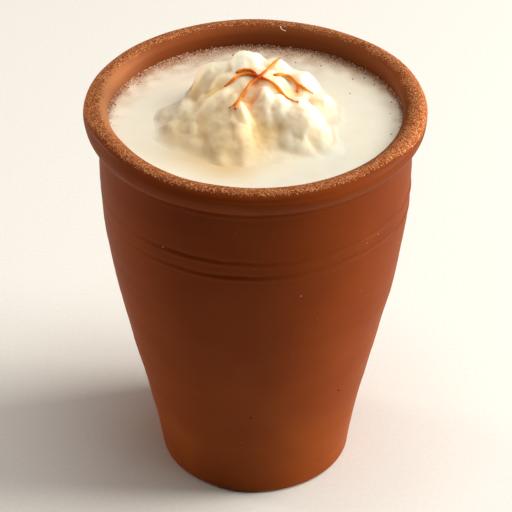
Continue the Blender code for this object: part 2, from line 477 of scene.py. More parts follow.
@dataclass(frozen=True)
class CreamyDrink:
    """Lassi: churned yogurt, opaque and faintly glossy, with milk's soft inner glow.

    Towards the wall its foam thins to a tan film, darker and browner at the clay: froth, partly
    painted shade and painted reflection of the clay. A faint film far in towards the back is
    painted shade, and round the heap a beige tint is painted shadow of the malai.
    """

    milk: Stops = ((0.35, "F8F0DD"), (0.6, "FAF3E2"))
    # The froth film, darker at the clay: partly painted shade and painted reflection of the clay.
    froth_film_and_shade: Stops = ((0.45, "D6C1AB"), (1.0, "A4785A"))
    # The colour of the painted shadow of the malai on the drink.
    painted_shadow: str = "E2C38A"
    glow_open: float = 0.4
    glow_shore: float = 0.1
    froth_mm: float = 0.55
    patch_mm: float = 5.0
    film_thick: float = 1.8
    film_uneven: float = -1.6
    film_cover: float = 2.0
    relief_mm: float = 0.15

    def build(self) -> Material:
        """Make the material.

        Returns:
            The lassi.
        """
        made, tree, shader, place = new_material("churned_lassi")
        froth_and_shade, shadow_share, shore = (
            add_node(tree, "ShaderNodeAttribute", attribute_name=name).outputs["Fac"]
            for name in ("froth_and_shade", "shadow_share", "shore")
        )
        patch = add_node(tree, "ShaderNodeTexNoise", {
            "Vector": place, "Scale": grain_scale(self.patch_mm), "Detail": 3.0,
        }).outputs["Fac"]
        cells = add_node(tree, "ShaderNodeTexNoise", {
            "Vector": place, "Scale": grain_scale(self.froth_mm), "Detail": 2.0,
            "Roughness": 0.7,
        }).outputs["Fac"]
        milk = add_node(tree, "ShaderNodeValToRGB", {"Fac": patch}, stops=self.milk)
        # Painted shadow of the malai on the drink round its foot.
        milk = add_node(tree, "ShaderNodeMix", {
            "Factor": shadow_share, MIX_A: milk.outputs["Color"], MIX_B: srgb(self.painted_shadow),
        }, data_type="RGBA").outputs[MIX_OUT]
        uneven = add_node(tree, "ShaderNodeMath", {
            0: cells, 1: self.film_uneven, 2: self.film_thick,
        }, operation="MULTIPLY_ADD").outputs[0]
        film_share = add_node(tree, "ShaderNodeMath", {0: froth_and_shade, 1: uneven},
                              operation="MULTIPLY").outputs[0]
        # Froth colour, partly painted shade and painted reflection of the clay.
        froth_film_and_shade = add_node(tree, "ShaderNodeValToRGB", {"Fac": film_share}, stops=self.froth_film_and_shade)
        cover = add_node(tree, "ShaderNodeMath", {0: film_share, 1: self.film_cover},
                         operation="MULTIPLY", use_clamp=True).outputs[0]
        colour = add_node(tree, "ShaderNodeMix", {
            "Factor": cover, MIX_A: milk, MIX_B: froth_film_and_shade.outputs["Color"],
        }, data_type="RGBA").outputs[MIX_OUT]
        glow = add_node(tree, "ShaderNodeMapRange", {
            "Value": shore, "To Min": self.glow_open * MM, "To Max": self.glow_shore * MM,
        }).outputs["Result"]
        depth = add_node(tree, "ShaderNodeMath", {0: cells, 1: froth_and_shade}, operation="MULTIPLY")
        bump = add_node(tree, "ShaderNodeBump", {
            "Height": depth.outputs[0], "Strength": 0.6, "Distance": self.relief_mm * MM,
        }).outputs["Normal"]
        fill_inputs(tree, shader, {
            "Base Color": colour,
            "Roughness": 0.34,
            "Normal": bump,
            "Subsurface Weight": 0.55,
            "Subsurface Radius": (1.0, 0.86, 0.66),
            "Subsurface Scale": glow,
            "IOR": 1.35,
        })
        return made


@dataclass(frozen=True)
class ClottedCream:
    """Malai: clotted cream torn in clumps, moist, soft and translucent. Hollows and clumps that
    face away from the light are painted a yellower butter colour, partly the cream's own tone
    and partly painted shade.

    The saffron has bled orange into it where the threads lie.
    """

    cream: str = "FBF4E2"
    # The butter colour: partly the cream's own tone, partly painted shade.
    butter_and_shade: str = "E4C78F"
    stain: str = "EFA455"
    curd_mm: float = 1.1
    glow_low: float = 0.1
    glow_high: float = 2.8
    relief_mm: float = 0.2

    def build(self) -> Material:
        """Make the material.

        Returns:
            The malai.
        """
        made, tree, shader, place = new_material("clotted_malai")
        hollow, stain, rise = (
            add_node(tree, "ShaderNodeAttribute", attribute_name=name).outputs["Fac"]
            for name in ("hollow", "stain", "rise")
        )
        curd = add_node(tree, "ShaderNodeTexNoise", {
            "Vector": place, "Scale": grain_scale(self.curd_mm), "Detail": 4.0,
            "Roughness": 0.6,
        }).outputs["Fac"]
        glow = add_node(tree, "ShaderNodeMapRange", {
            "Value": rise, "To Min": self.glow_low * MM, "To Max": self.glow_high * MM,
        }).outputs["Result"]
        colour = srgb(self.cream)
        # The hollow share paints butter: partly the cream's tone, partly painted shade.
        for share, code in ((hollow, self.butter_and_shade), (stain, self.stain)):
            colour = add_node(tree, "ShaderNodeMix", {
                "Factor": share, MIX_A: colour, MIX_B: srgb(code),
            }, data_type="RGBA").outputs[MIX_OUT]
        bump = add_node(tree, "ShaderNodeBump", {
            "Height": curd, "Strength": 0.2, "Distance": self.relief_mm * MM,
        }).outputs["Normal"]
        fill_inputs(tree, shader, {
            "Base Color": colour,
            "Roughness": 0.5,
            "Normal": bump,
            "Specular IOR Level": 0.3,
            "Subsurface Weight": 1.0,
            "Subsurface Radius": (1.0, 0.92, 0.8),
            "Subsurface Scale": glow,
            "IOR": 1.38,
        })
        return made


@dataclass(frozen=True)
class SoakedSaffron:
    """Saffron stigmas swollen in warm milk: orange, with deep red at the crossing and streaks."""

    tones: Stops = ((0.0, "7A2206"), (0.3, "CC4A06"), (0.75, "EE8410"))
    streak_mm: float = 0.5
    streak_share: float = 0.7
    relief_mm: float = 0.12
    glow_mm: float = 0.3

    def build(self) -> Material:
        """Make the material.

        Returns:
            The saffron.
        """
        made, tree, shader, place = new_material("soaked_saffron")
        along = add_node(tree, "ShaderNodeAttribute", attribute_name="along").outputs["Fac"]
        streak = add_node(tree, "ShaderNodeTexNoise", {
            "Vector": place, "Scale": grain_scale(self.streak_mm), "Detail": 3.0,
            "Roughness": 0.65,
        }).outputs["Fac"]
        shifted = add_node(tree, "ShaderNodeMath", {0: streak, 1: NOISE_MIDDLE},
                           operation="SUBTRACT").outputs[0]
        mixed = add_node(tree, "ShaderNodeMath", {0: shifted, 1: self.streak_share, 2: along},
                         operation="MULTIPLY_ADD").outputs[0]
        colour = add_node(tree, "ShaderNodeValToRGB", {"Fac": mixed}, stops=self.tones)
        bump = add_node(tree, "ShaderNodeBump", {
            "Height": streak, "Strength": 0.4, "Distance": self.relief_mm * MM,
        }).outputs["Normal"]
        fill_inputs(tree, shader, {
            "Base Color": colour.outputs["Color"],
            "Roughness": 0.5,
            "Normal": bump,
            "Specular IOR Level": 0.25,
            "Subsurface Weight": 0.1,
            "Subsurface Radius": (1.0, 0.3, 0.08),
            "Subsurface Scale": self.glow_mm * MM,
        })
        return made


@dataclass(frozen=True)
class SpeckFinish:
    """Small lumps of one stuff, whose colour varies softly from lump to lump."""

    name: str
    dark: str
    pale: str
    roughness: float
    mottle_mm: float = 1.1
    mottle_span: Pair = (0.4, 0.6)

    def build(self) -> Material:
        """Make the material.

        Returns:
            The stuff of the specks.
        """
        made, tree, shader, place = new_material(self.name)
        mottle = add_node(tree, "ShaderNodeTexNoise", {
            "Vector": place, "Scale": grain_scale(self.mottle_mm), "Detail": 2.0,
        }).outputs["Fac"]
        stops = tuple(zip(self.mottle_span, (self.dark, self.pale)))
        colour = add_node(tree, "ShaderNodeValToRGB", {"Fac": mottle}, stops=stops)
        fill_inputs(tree, shader, {
            "Base Color": colour.outputs["Color"], "Roughness": self.roughness,
        })
        return made


FROTH_BUBBLE = SpeckFinish("froth_bubble", "E4CDB6", "FAEEDD", 0.3)
# Dark specks for open pores: painted shade in the holes.
FROTH_PORE_SHADE = SpeckFinish("painted_froth_pore_shade", "3A160A", "84472B", 0.5)
CLAY_CRUMB = SpeckFinish("wet_clay_crumb", "964018", "CC7E4C", 0.7)
CLAY_PORE_SHADE = SpeckFinish("painted_clay_pore_shade", "1E0A05", "3A170A", 0.9)
CLAY_GRAIN = SpeckFinish("pale_clay_grain", "BC8259", "DCB288", 0.8)
STUDIO_PAPER = SpeckFinish("matt_studio_paper", "EAE9E7", "EDECEA", 0.9)


class Wave(NamedTuple):
    """An unevenness of thrown clay.

    It has how far it moves the clay, how often it turns round the cup, its length up the wall,
    and a shift that keeps it apart from the others.
    """

    reach: float
    turns: float
    length: float = math.inf
    shift: tuple[float, float, float] = (0.0, 0.0, 0.0)

    def at(self, place: Vector, height: float = 0.0) -> float:
        """The wave at a direction from the axis and a height."""
        up = Vector((0, 0, height / self.length))
        return self.reach * noise.noise(place * self.turns + Vector(self.shift) + up)


@dataclass(frozen=True)
class FingerLines:
    """Broken lines that fingers left round the wall: grooves, each over a low crest.

    Swings and wanders are how far and how often round the cup. The faint span is where, from the
    left, the lines gain their strength. Groove and crest are heights from the line.
    """

    heights: tuple[float, ...] = (101.5, 87.2, 82.7)
    shares: tuple[float, ...] = (0.5, 1.0, 1.0)
    rise: float = 0.28
    reach: float = 2.4
    faint: float = 0.15
    faint_span: Pair = (-0.82, -0.36)
    apart: float = 7.0
    wander: tuple[Pair, ...] = ((0.5, 1.3), (0.24, 6.0))
    strength: float = 0.95
    strength_swing: Pair = (0.6, 3.1)
    strength_span: Pair = (0.5, 1.2)
    groove_deepest: float = 0.4
    groove_top: float = 1.7
    crest_share: float = 0.6
    crest_span: tuple[float, ...] = (-1.5, -0.4, -0.3)

    def swell(self, place: Vector, height: float) -> float:
        """Find how far the lines stand out or in, sharp between groove and crest.

        Args:
            place: the direction from the axis, one long.
            height: the height on the wall.

        Returns:
            The shift outwards.
        """
        swell = 0.0
        pressed = self.rise * (self.faint + (1 - self.faint) * step_up(place.x, *self.faint_span))
        swing, turns = self.strength_swing
        foot, top, fall = self.crest_span
        for number, (line, share) in enumerate(zip(self.heights, self.shares)):
            around = Vector((place.x, place.y, self.apart * number))
            over = height - line
            for far, often in self.wander:
                over -= far * noise.noise(around * often)
            rise = pressed * share
            rise *= clamp(self.strength + swing * noise.noise(around * turns), *self.strength_span)
            if 0 < over < self.groove_top:
                rim = step_up(over, self.groove_deepest, self.groove_top)
                swell -= rise * step_up(over, 0, self.groove_deepest) * (1 - rim)
            elif foot < over <= 0:
                crest = step_up(over, foot, top) * (1 - step_up(over, fall, 0))
                swell += self.crest_share * rise * crest
        return swell


@dataclass(frozen=True)
class ClayTones:
    """Where the clay is sandy or speckled, worn, and painted paler as painted light.

    Each pair is where a change starts and ends. The sand's lower edge rises towards the front.
    """

    ragged: Wave = Wave(0.9, 9.0, 3.0)
    ragged_in: float = 0.7
    ragged_down: float = 0.2
    sandy_radii: Pair = (38.9, 41.0)
    sandy_heights: Pair = (107.0, 110.0)
    edge_height: float = 108.6
    edge_rise: float = 2.35
    edge_blend: Pair = (-0.5, 0.35)
    front_span: Pair = (0.0, 0.6)
    front_turn: float = 0.15
    speckle: Wave = Wave(1.0, 4.0, 14.0)
    speckle_share: float = 0.02
    # A patch at the left, painted paler: painted light.
    painted_light_heights: Pair = (102.5, 105.5)
    painted_light_narrowness: int = 5
    worn_share: float = 0.13
    worn_heights: Pair = (100.0, 103.0)
    worn_radii: Pair = (40.0, 41.0)

    def grit(
        self, place: Vector, radius: float, height: float, wall: float, past_crest: bool
    ) -> float:
        """Find how sandy a point is: the lip's crest and its outer side, and specks on the wall.

        Args:
            place: the direction from the axis, one long.
            radius: the point's distance from the axis.
            height: its height.
            wall: how much it belongs to the wall's outside.
            past_crest: whether it lies on the lip's outer side.

        Returns:
            The share of sand, from nought to one.
        """
        ragged = self.ragged.at(place, height)
        crest = step_up(radius + self.ragged_in * ragged, *self.sandy_radii)
        if past_crest:
            front = step_up(-place.y - self.front_turn * place.x, *self.front_span)
            edge = self.edge_height + self.edge_rise * front
            ends = (edge + past for past in self.edge_blend)
            crest *= step_up(height + self.ragged_down * ragged, *ends)
        speckled = self.speckle_share * wall * (1 + self.speckle.at(place, height))
        return max(crest * step_up(height, *self.sandy_heights), speckled)

    def worn_and_painted_light(self, place: Vector, radius: float, height: float) -> float:
        """Find how pale a point is painted: a patch at the left, which is painted light, and
        faintly all round inside the lip, which is wear.

        Args:
            place: the direction from the axis, one long.
            radius: the point's distance from the axis.
            height: its height.

        Returns:
            The share, from nought to one.
        """
        # The patch at the left is painted light; the faint paleness all round is wear.
        worn_and_painted_light = clamp(-place.x) ** self.painted_light_narrowness * step_up(height, *self.painted_light_heights)
        worn = self.worn_share * step_up(height, *self.worn_heights)
        return max(worn_and_painted_light, worn) * (1 - step_up(radius, *self.worn_radii))


@dataclass
class ClayCup:
    """The thrown cup: one skin from its inner floor over the rolled lip to its foot.

    Its wall is a smooth curve through radii at even heights. Skin depths and blends are where a
    share starts and is full, from the wall's face, the neck and the foot. The rim falls towards
    the front, and a shallow groove runs round the lip's front.
    """

    wall_radii: tuple[float, ...] = (26.2, 29.6, 34.05, 38.15, 40.65, 40.95)
    neck_height: float = 102.6
    foot_rounding: float = 1.5
    lip_crest_radius: float = 41.4
    lip_inner_radius: float = 38.3
    lip_widest_height: float = 108.6
    lip_under_end: float = -62.0
    neck_fillet: float = 1.0
    neck_bend: tuple[Pair, ...] = ((0.75, 0.15), (0.22, -0.35))
    groove_height: float = 109.35
    groove_depth: float = 0.22
    groove_width: float = 0.5
    groove_wander: Wave = Wave(0.25, 3.0)
    groove_turn: float = 0.3
    groove_span: Pair = (0.45, 0.85)
    lines: FingerLines = FingerLines()
    tones: ClayTones = ClayTones()
    lean: Wave = Wave(0.25, 0.9, 60.0)
    wall_waves: tuple[Wave, ...] = (Wave(0.05, 0.7, 2.2), Wave(0.2, 2.2, 9.0, (0.0, 5.0, 0.0)))
    lip_wave: Wave = Wave(0.14, 5.0, 6.0)
    lip_lift: Wave = Wave(0.3, 1.7, shift=(3.0, 1.0, 9.0))
    lift_margin: float = 1.0
    skin_depths: Pair = (-1.2, -0.4)
    lip_blend: Pair = (-0.3, 2.5)
    foot_blend: Pair = (0.5, 3.0)
    front_fall: float = 1.7
    front_turn: float = 0.27
    front_roundness: float = 1.5
    floor_thickness: float = 7.0
    floor_fillet: float = 6.0
    wall_thick_low: float = 4.4
    wall_thick_high: float = 1.95
    sides: int = 256
    line_step: float = 0.3
    wall_step: float = 0.75
    bend_step: float = 0.25
    hidden_step: float = 8.0
    shore_band: float = 3.0
    shore_steps: int = 6
    round_steps: int = 6
    lip_steps: tuple[int, ...] = (12, 20, 16)
    rim_height: float = field(init=False)
    lip_outer_radius: float = field(init=False)

    def __post_init__(self) -> None:
        """Read the overall sizes from the frame."""
        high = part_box("clay_cup")[1]
        self.rim_height = high[2] / MM
        self.lip_outer_radius = high[0] / MM

    def wall_radius(self, height: float) -> float:
        """Find the outer radius of the wall, without its finger lines.

        Args:
            height: the height.

        Returns:
            The radius there.
        """
        steps = len(self.wall_radii) - 1
        place = clamp(height / self.neck_height) * steps
        first = min(int(place), steps - 1)
        return between(four_around(self.wall_radii, first), place - first)

    def inner_radius(self, height: float) -> float:
        """Find the radius of the hollow, below the lip.

        Args:
            height: the height.

        Returns:
            The radius there.
        """
        share = clamp(height / self.neck_height)
        thickness = self.wall_thick_low + (self.wall_thick_high - self.wall_thick_low) * share
        return self.wall_radius(height) - thickness

    def hollow(self, inset: float, top: float) -> list[Pair]:
        """Outline of the hollow from the middle of its floor up to a height.

        Args:
            inset: how far the outline stays inside the hollow.
            top: the height at which it stops.

        Returns:
            Points as (radius, height).
        """
        fillet_top = self.floor_thickness + self.floor_fillet
        side = self.inner_radius(fillet_top) - inset
        rounding = self.floor_fillet - inset
        outline = [(0.0, self.floor_thickness + inset)]
        outline += oval_arc(
            (side - rounding, fillet_top), rounding, rounding, -90, 0, self.round_steps
        )
        count = round((top - fillet_top) / self.hidden_step)
        for part in range(1, count + 1):
            height = fillet_top + (top - fillet_top) * part / count
            outline.append((self.inner_radius(height) - inset, height))
        return outline

    def wall_heights(self) -> list[float]:
        """List the heights down the outer wall, closer together at the finger lines.

        Returns:
            The heights, highest first.
        """
        heights = []
        height = self.neck_height - self.neck_fillet
        while height > 2 * self.foot_rounding:
            heights.append(height)
            nearest = min(abs(height - line) for line in self.lines.heights)
            height -= self.line_step if nearest < self.lines.reach else self.wall_step
        return heights

    def lip(self) -> list[Pair]:
        """Outline of the rolled lip, from its inner side over its crest to the neck.

        Returns:
            Points as (radius, height).
        """
        crest, widest = self.lip_crest_radius, self.lip_widest_height
        neck = self.wall_radius(self.neck_height)
        rise = self.rim_height - widest
        inner, outer, under = self.lip_steps
        lip = oval_arc((crest, widest), crest - self.lip_inner_radius, rise, 180, 90, inner)
        lip += oval_arc((crest, widest), self.lip_outer_radius - crest, rise, 90, 0, outer)[1:]
        lip += oval_arc(
            (neck, widest), self.lip_outer_radius - neck, widest - self.neck_height,
            0, self.lip_under_end, under,
        )[1:]
        low = self.neck_height - self.neck_fillet
        bend = [(neck + out, self.neck_height + up) for out, up in self.neck_bend]
        way = smooth_way([lip[-1], *bend, (self.wall_radius(low), low)], self.bend_step)
        return lip + way[1:-1]

    def outline(self, drink_level: float) -> list[Pair]:
        """Outline of the whole skin, from the inner floor to the foot.

        Args:
            drink_level: the height that the drink reaches.

        Returns:
            Points as (radius, height).
        """
        shore = drink_level - self.shore_band
        outline = self.hollow(0, shore)
        for part in range(1, self.shore_steps + 1):
            height = shore + self.shore_band * part / self.shore_steps
            outline.append((self.inner_radius(height), height))
        outline += self.lip()
        outline += [(self.wall_radius(height), height) for height in self.wall_heights()]
        rounding = self.foot_rounding
        foot = self.wall_radius(rounding) - rounding
        outline += oval_arc((foot, rounding), rounding, rounding, 0, -90, self.round_steps)
        return outline + [(foot / 2, 0.0), (0.0, 0.0)]

    def out_of_true(self, place: Vector, height: float, lip: float, wall: float) -> float:
        """Find how far the hand left a point out from the turned shape, but for the lip's groove.

        Args:
            place: the direction from the axis, one long.
            height: the point's height.
            lip: how much it belongs to the lip.
            wall: how much it belongs to the wall's outside.

        Returns:
            The shift outwards.
        """
        out = self.lean.at(place, height)
        out += wall * self.lines.swell(place, height)
        out += sum(wall * wave.at(place, height) for wave in self.wall_waves)
        return out + lip * self.lip_wave.at(place, height)

    def lip_groove(self, place: Vector, height: float) -> float:
        """Find how deep the shallow groove in the lip's front is.

        Args:
            place: the direction from the axis, one long.
            height: the height on the lip's outer side.

        Returns:
            The depth.
        """
        away = height - self.groove_height - self.groove_wander.at(place)
        front = step_up(-place.y - self.groove_turn * place.x, *self.groove_span)
        return front * self.groove_depth * math.exp(-(away / self.groove_width) ** 2)

    def thrown(self, vertex: Vector) -> tuple[Vector, float, float]:
        """Move a turned point as a hand-thrown cup departs from true.

        Args:
            vertex: the true point.

        Returns:
            The moved point, how sandy it is, and how pale it is painted for wear and painted
            light, from nought to one.
        """
        radius, height = math.hypot(vertex.x, vertex.y), vertex.z
        if radius < SAME_PLACE:
            return vertex, 0.0, 0.0
        place = Vector((vertex.x / radius, vertex.y / radius, 0))
        face, neck = self.wall_radius(height), self.neck_height
        outside = step_up(radius, *(face + depth for depth in self.skin_depths))
        lip = step_up(height, *(neck + far for far in self.lip_blend))
        wall = outside * (1 - lip) * step_up(height, *self.foot_blend)
        out = self.out_of_true(place, height, lip, wall)
        past_crest = radius > self.lip_crest_radius
        if past_crest:
            out -= self.lip_groove(place, height)
        front = clamp(self.front_turn * place.x - place.y) ** self.front_roundness
        lift = step_up(height, neck, self.lip_widest_height + self.lift_margin)
        lift *= self.lip_lift.at(place) - self.front_fall * front
        moved = vertex + place * out + Vector((0, 0, lift))
        grit = self.tones.grit(place, radius, height, wall, past_crest)
        return moved, grit, self.tones.worn_and_painted_light(place, radius, height)

    def build(self, looks: Material, drink_level: float) -> Object:
        """Make the cup.

        Args:
            looks: the fired clay.
            drink_level: the height that the drink reaches.

        Returns:
            The finished piece.
        """
        bm = spun(self.outline(drink_level), self.sides)
        grit, worn_and_painted_light = new_layers(bm, "grit", "worn_and_painted_light")
        for vertex in bm.verts:
            vertex.co, vertex[grit], vertex[worn_and_painted_light] = self.thrown(vertex.co.copy())
        return finish_mesh("clay_cup_thrown", bm, looks)


class Clump(NamedTuple):
    """A rounded cap of malai.

    It has a top, half sizes along and across, a drop over them, a turn in degrees, a tone from
    white to butter, and powers along and across, lower for a sharper ridge. The tone is partly
    the malai's own yellower colour and partly painted shade, highest on clumps in shade.
    """

    x: float
    y: float
    top: float
    length: float
    width: float
    drop: float
    turn: float
    tone: float = 0.3
    edge: float = 2.0
    side: float = 2.0


class Dent(NamedTuple):
    """A soft hollow in the malai: place, depth, half widths in X and Y, tone as painted shade."""

    x: float
    y: float
    depth: float
    width: float
    length: float
    tone: float


class PaintedShadow(NamedTuple):
    """Painted shadow round the heap's foot: its place, half widths across X and Y, and strength.
    """

    x: float
    y: float
    width: float
    length: float
    tone: float


class Stain(NamedTuple):
    """Malai stained by saffron: its place and reach."""

    x: float
    y: float
    reach: float


def soft_spot(x: np.ndarray, y: np.ndarray, spot: Dent | PaintedShadow) -> np.ndarray:
    """A spot's share at plan positions, one in its middle and nought far from it."""
    return np.exp(-((x - spot.x) / spot.width) ** 2 - ((y - spot.y) / spot.length) ** 2)


@dataclass
class MalaiHeap:
    """The heap of malai: overlapping clumps, broken in flakes, sunk a little in the drink.

    Flakes have a size, a tilt and a seed. Tearing and stains have how far and how wide.
    """

    # Tones are partly painted shade: clumps that face away from the light have more.
    clumps: dict[str, Clump] = field(default_factory=lambda: {
        "core": Clump(-1.5, -0.5, 9.6, 20.5, 17.4, 9.6, 0, 0.5),
        "crown": Clump(-2.2, 7.2, 16.5, 4.6, 4.6, 3.4, 12, 0.0, 3.4),
        "crown_left": Clump(-9.0, 7.2, 13.2, 6.4, 5.4, 4.4, 0, 0.28, 3.6),
        "crown_right": Clump(5.0, 8.0, 13.8, 5.4, 4.6, 4.8, -12, 0.2, 2.6),
        "saffron_seat": Clump(1.0, 2.6, 14.0, 8.0, 5.0, 4.4, -6, 0.5),
        "right_upper": Clump(11.2, 6.0, 11.5, 5.2, 6.2, 6.0, -14, 0.12, 3.4),
        "right_low": Clump(17.0, 2.6, 6.4, 5.6, 7.6, 6.0, 10, 0.22, 2.4),
        "left_upper": Clump(-12.5, 5.2, 9.2, 5.4, 5.2, 5.4, 4, 0.9, 3.4),
        "left_saddle": Clump(-7.6, -2.6, 12.0, 7.0, 3.6, 4.2, 36, 0.35),
        "left_shelf": Clump(-5.4, 1.4, 13.2, 7.0, 5.0, 4.0, -10, 0.45, 2.6),
        "left_slope": Clump(-4.6, -5.6, 10.6, 21.0, 17.2, 10.8, 6, 0.62, 1.22, 1.5),
        "left_slab": Clump(-16.8, 0.8, 5.6, 9.6, 8.8, 6.0, 8, 0.38, 1.6),
        "left_low": Clump(-17.4, -7.2, 4.4, 8.2, 7.8, 4.8, 24, 0.5),
        "front_low": Clump(-6.5, -13.5, 5.6, 8.6, 7.4, 5.8, 50, 0.78),
        "front_ridge": Clump(-4.2, -7.6, 10.9, 4.2, 9.6, 9.2, 22, 0.5, 1.7),
        "front_flake": Clump(2.4, -4.8, 12.9, 4.2, 5.4, 5.0, 15, 0.1, 1.7),
        "right_flake": Clump(6.0, -6.0, 10.9, 5.4, 4.8, 4.6, -12, 0.12, 1.8),
        "right_front": Clump(11.2, -5.8, 9.4, 8.0, 12.6, 8.2, 32, 0.26, 1.7),
        "wedge": Clump(10.4, -8.6, 8.2, 7.6, 7.2, 6.6, 30, 0.38),
        "front_shelf": Clump(10.6, -11.6, 5.4, 7.6, 6.6, 5.0, -20, 0.32),
        "low_ridge": Clump(10.4, -15.2, 3.7, 6.0, 2.5, 2.8, -25, 0.25),
        "foot_front": Clump(6.5, -17.0, 1.2, 11.0, 4.2, 1.6, -4, 0.4),
        "foot_right": Clump(18.0, -14.4, 1.4, 5.0, 4.2, 2.0, 0, 0.0),
        "back_left": Clump(-10.0, 12.5, 7.8, 8.6, 7.0, 8.0, 10, 0.25),
        "back_middle": Clump(3.0, 13.6, 9.4, 9.0, 6.6, 9.0, -8, 0.2),
        "back_right": Clump(12.6, 10.4, 7.6, 7.4, 7.0, 8.0, -30, 0.15),
    })
    dents: tuple[Dent, ...] = (
        Dent(5.8, -11.4, 0.4, 3.0, 2.8, 0.2),
        Dent(1.8, -13.2, 0.8, 2.4, 3.8, 0.42),
        Dent(-19.4, -9.6, 0.45, 1.9, 4.6, 0.25),
        Dent(-13.4, -10.6, 0.4, 1.4, 4.4, 0.2),
        Dent(-1.4, -5.2, 1.0, 2.2, 1.6, 0.2),
        Dent(-10.2, -1.4, 0.9, 2.8, 2.8, 0.6),
        Dent(-0.4, -10.8, 0.9, 1.8, 3.0, 0.1),
        Dent(-2.4, -17.6, 0.15, 4.4, 4.5, 0.1),
    )
    # Painted shadow of the malai, on the drink round its foot and on the foot itself.
    painted_shadows: tuple[PaintedShadow, ...] = (
        PaintedShadow(-6.8, -23.6, 8.0, 5.8, 0.76),
        PaintedShadow(-15.0, -17.4, 8.5, 5.8, 0.6),
        PaintedShadow(-21.0, -8.0, 6.0, 8.0, 0.25),
        PaintedShadow(4.0, -20.0, 8.0, 4.5, 0.25),
    )
    stains: tuple[Stain, ...] = (
        Stain(-1.0, -5.7, 2.7), Stain(0.6, -0.6, 2.4), Stain(10.5, 0.6, 1.3),
    )
    centre: Pair = (-1.5, -1.0)
    half_sizes: Pair = (26.0, 24.0)
    cells: tuple[int, int] = (290, 270)
    sink: float = 2.2
    crag_size: float = 3.6
    crag_shift: float = 0.95
    crag_seeds: Pair = (7.3, 4.1)
    crease_blend: float = 0.35
    crease_reach: float = 4.0
    softness: float = 0.45
    second_softness: float = 0.6
    smoothings: int = 2
    foot_start: float = 0.3
    foot_ease: float = 0.9
    foot_sink: float = 0.25
    drown_start: float = -1.0
    drown_over: float = 0.8
    drown_depth: float = 2.4
    cut_depth: float = 1.2
    tone_rise: float = 1.2
    tone_spread: float = 0.7
    tone_limit: float = 20.0
    tone_floor: float = 1e-6
    painted_shadow_limit: float = 0.85
    glow_rise: float = 3.0
    flakes: tuple[tuple[float, ...], ...] = ((4.6, 0.16, 1.7), (2.1, 0.09, 6.1))
    flake_seed: float = 5.7
    flake_turn: float = 31.4
    flake_full: float = 5.0
    flake_least: float = 0.2
    torn: tuple[Pair, ...] = ((0.34, 3.4), (0.1, 1.4))
    torn_full: float = 2.5
    hollow_window: int = 9
    hollow_depth: float = 1.1
    hollow_rise: float = 1.5
    # Share of painted shade in the hollows.
    painted_recess_shade: float = 0.6
    stain_ragged: Pair = (0.5, 1.1)
    stain_strength: float = 0.75
    stain_on_white: float = 0.45
    level: float = field(init=False)

    def __post_init__(self) -> None:
        """Read the drink's level from the frame."""
        self.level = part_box("lassi")[1][2] / MM

    def warp(self, x: float, y: float) -> Pair:
        """Shift a plan position so that no clump keeps a round edge."""
        place = Vector((x, y, 0)) / self.crag_size
        return (
            x + self.crag_shift * noise.noise(place + Vector((self.crag_seeds[0], 0, 0))),
            y + self.crag_shift * noise.noise(place + Vector((0, 0, self.crag_seeds[1]))),
        )

    def clump_heights(self, x: np.ndarray, y: np.ndarray) -> tuple[np.ndarray, np.ndarray]:
        """Work out the clumps at warped plan positions.

        Args:
            x: the positions along X.
            y: the positions along Y.

        Returns:
            Height of the malai above the drink, and its tone.
        """
        highest = np.full(x.shape, -self.sink)
        weight = np.full(x.shape, self.tone_floor)
        tone = np.zeros(x.shape)
        for clump in self.clumps.values():
            angle = math.radians(clump.turn)
            along = (x - clump.x) * math.cos(angle) + (y - clump.y) * math.sin(angle)
            across = (y - clump.y) * math.cos(angle) - (x - clump.x) * math.sin(angle)
            reach = np.abs(along / clump.length) ** clump.edge
            reach += np.abs(across / clump.width) ** clump.side
            height = clump.top - clump.drop * reach
            apart = np.abs(height - highest) / (self.crease_reach * self.crease_blend)
            nearness = np.clip(1 - apart, 0, 1)
            highest = np.maximum(height, highest) + self.crease_blend * nearness ** 2
            share = np.exp(np.clip(height, -self.tone_limit, self.tone_limit) / self.tone_spread)
            weight += share
            tone += share * clump.tone
        tone /= weight
        for dent in self.dents:
            share = soft_spot(x, y, dent)
            highest = highest - dent.depth * share
            # A dent's tone is painted shade in the hollow.
            tone = tone + dent.tone * share
        shadow_share = self.shadow_share(x, y)
        # Near the drink the tone fades to the painted shadow round the foot.
        return highest, shadow_share + (tone - shadow_share) * np.clip(highest / self.tone_rise, 0, 1)

    def shadow_share(self, x: np.ndarray, y: np.ndarray) -> np.ndarray:
        """Strength of the painted shadow round the heap's foot at plan positions, nought to one.
        """
        share = sum(painted_shadow.tone * soft_spot(x, y, painted_shadow) for painted_shadow in self.painted_shadows)
        return np.clip(share, 0, self.painted_shadow_limit)

    def footed(self, height: np.ndarray) -> np.ndarray:
        """Ease the flanks into the drink with a soft foot, and drop them below it.

        Args:
            height: the heights above the drink.

        Returns:
            The eased heights.
        """
        eased = self.foot_ease * np.log1p(np.exp((height - self.foot_start) / self.foot_ease))
        drowned = np.clip((self.drown_start - height) / self.drown_over, 0, 1)
        return eased - self.foot_sink - self.drown_depth * drowned

    def heights(self, x: np.ndarray, y: np.ndarray) -> tuple[np.ndarray, np.ndarray]:
        """Height of the malai above the drink, below nought where there is none, and its tone."""
        warped = np.array([self.warp(px, py) for px, py in zip(x.ravel(), y.ravel())])
        return self.clump_heights(
            warped[:, 0].reshape(x.shape), warped[:, 1].reshape(y.shape)
        )

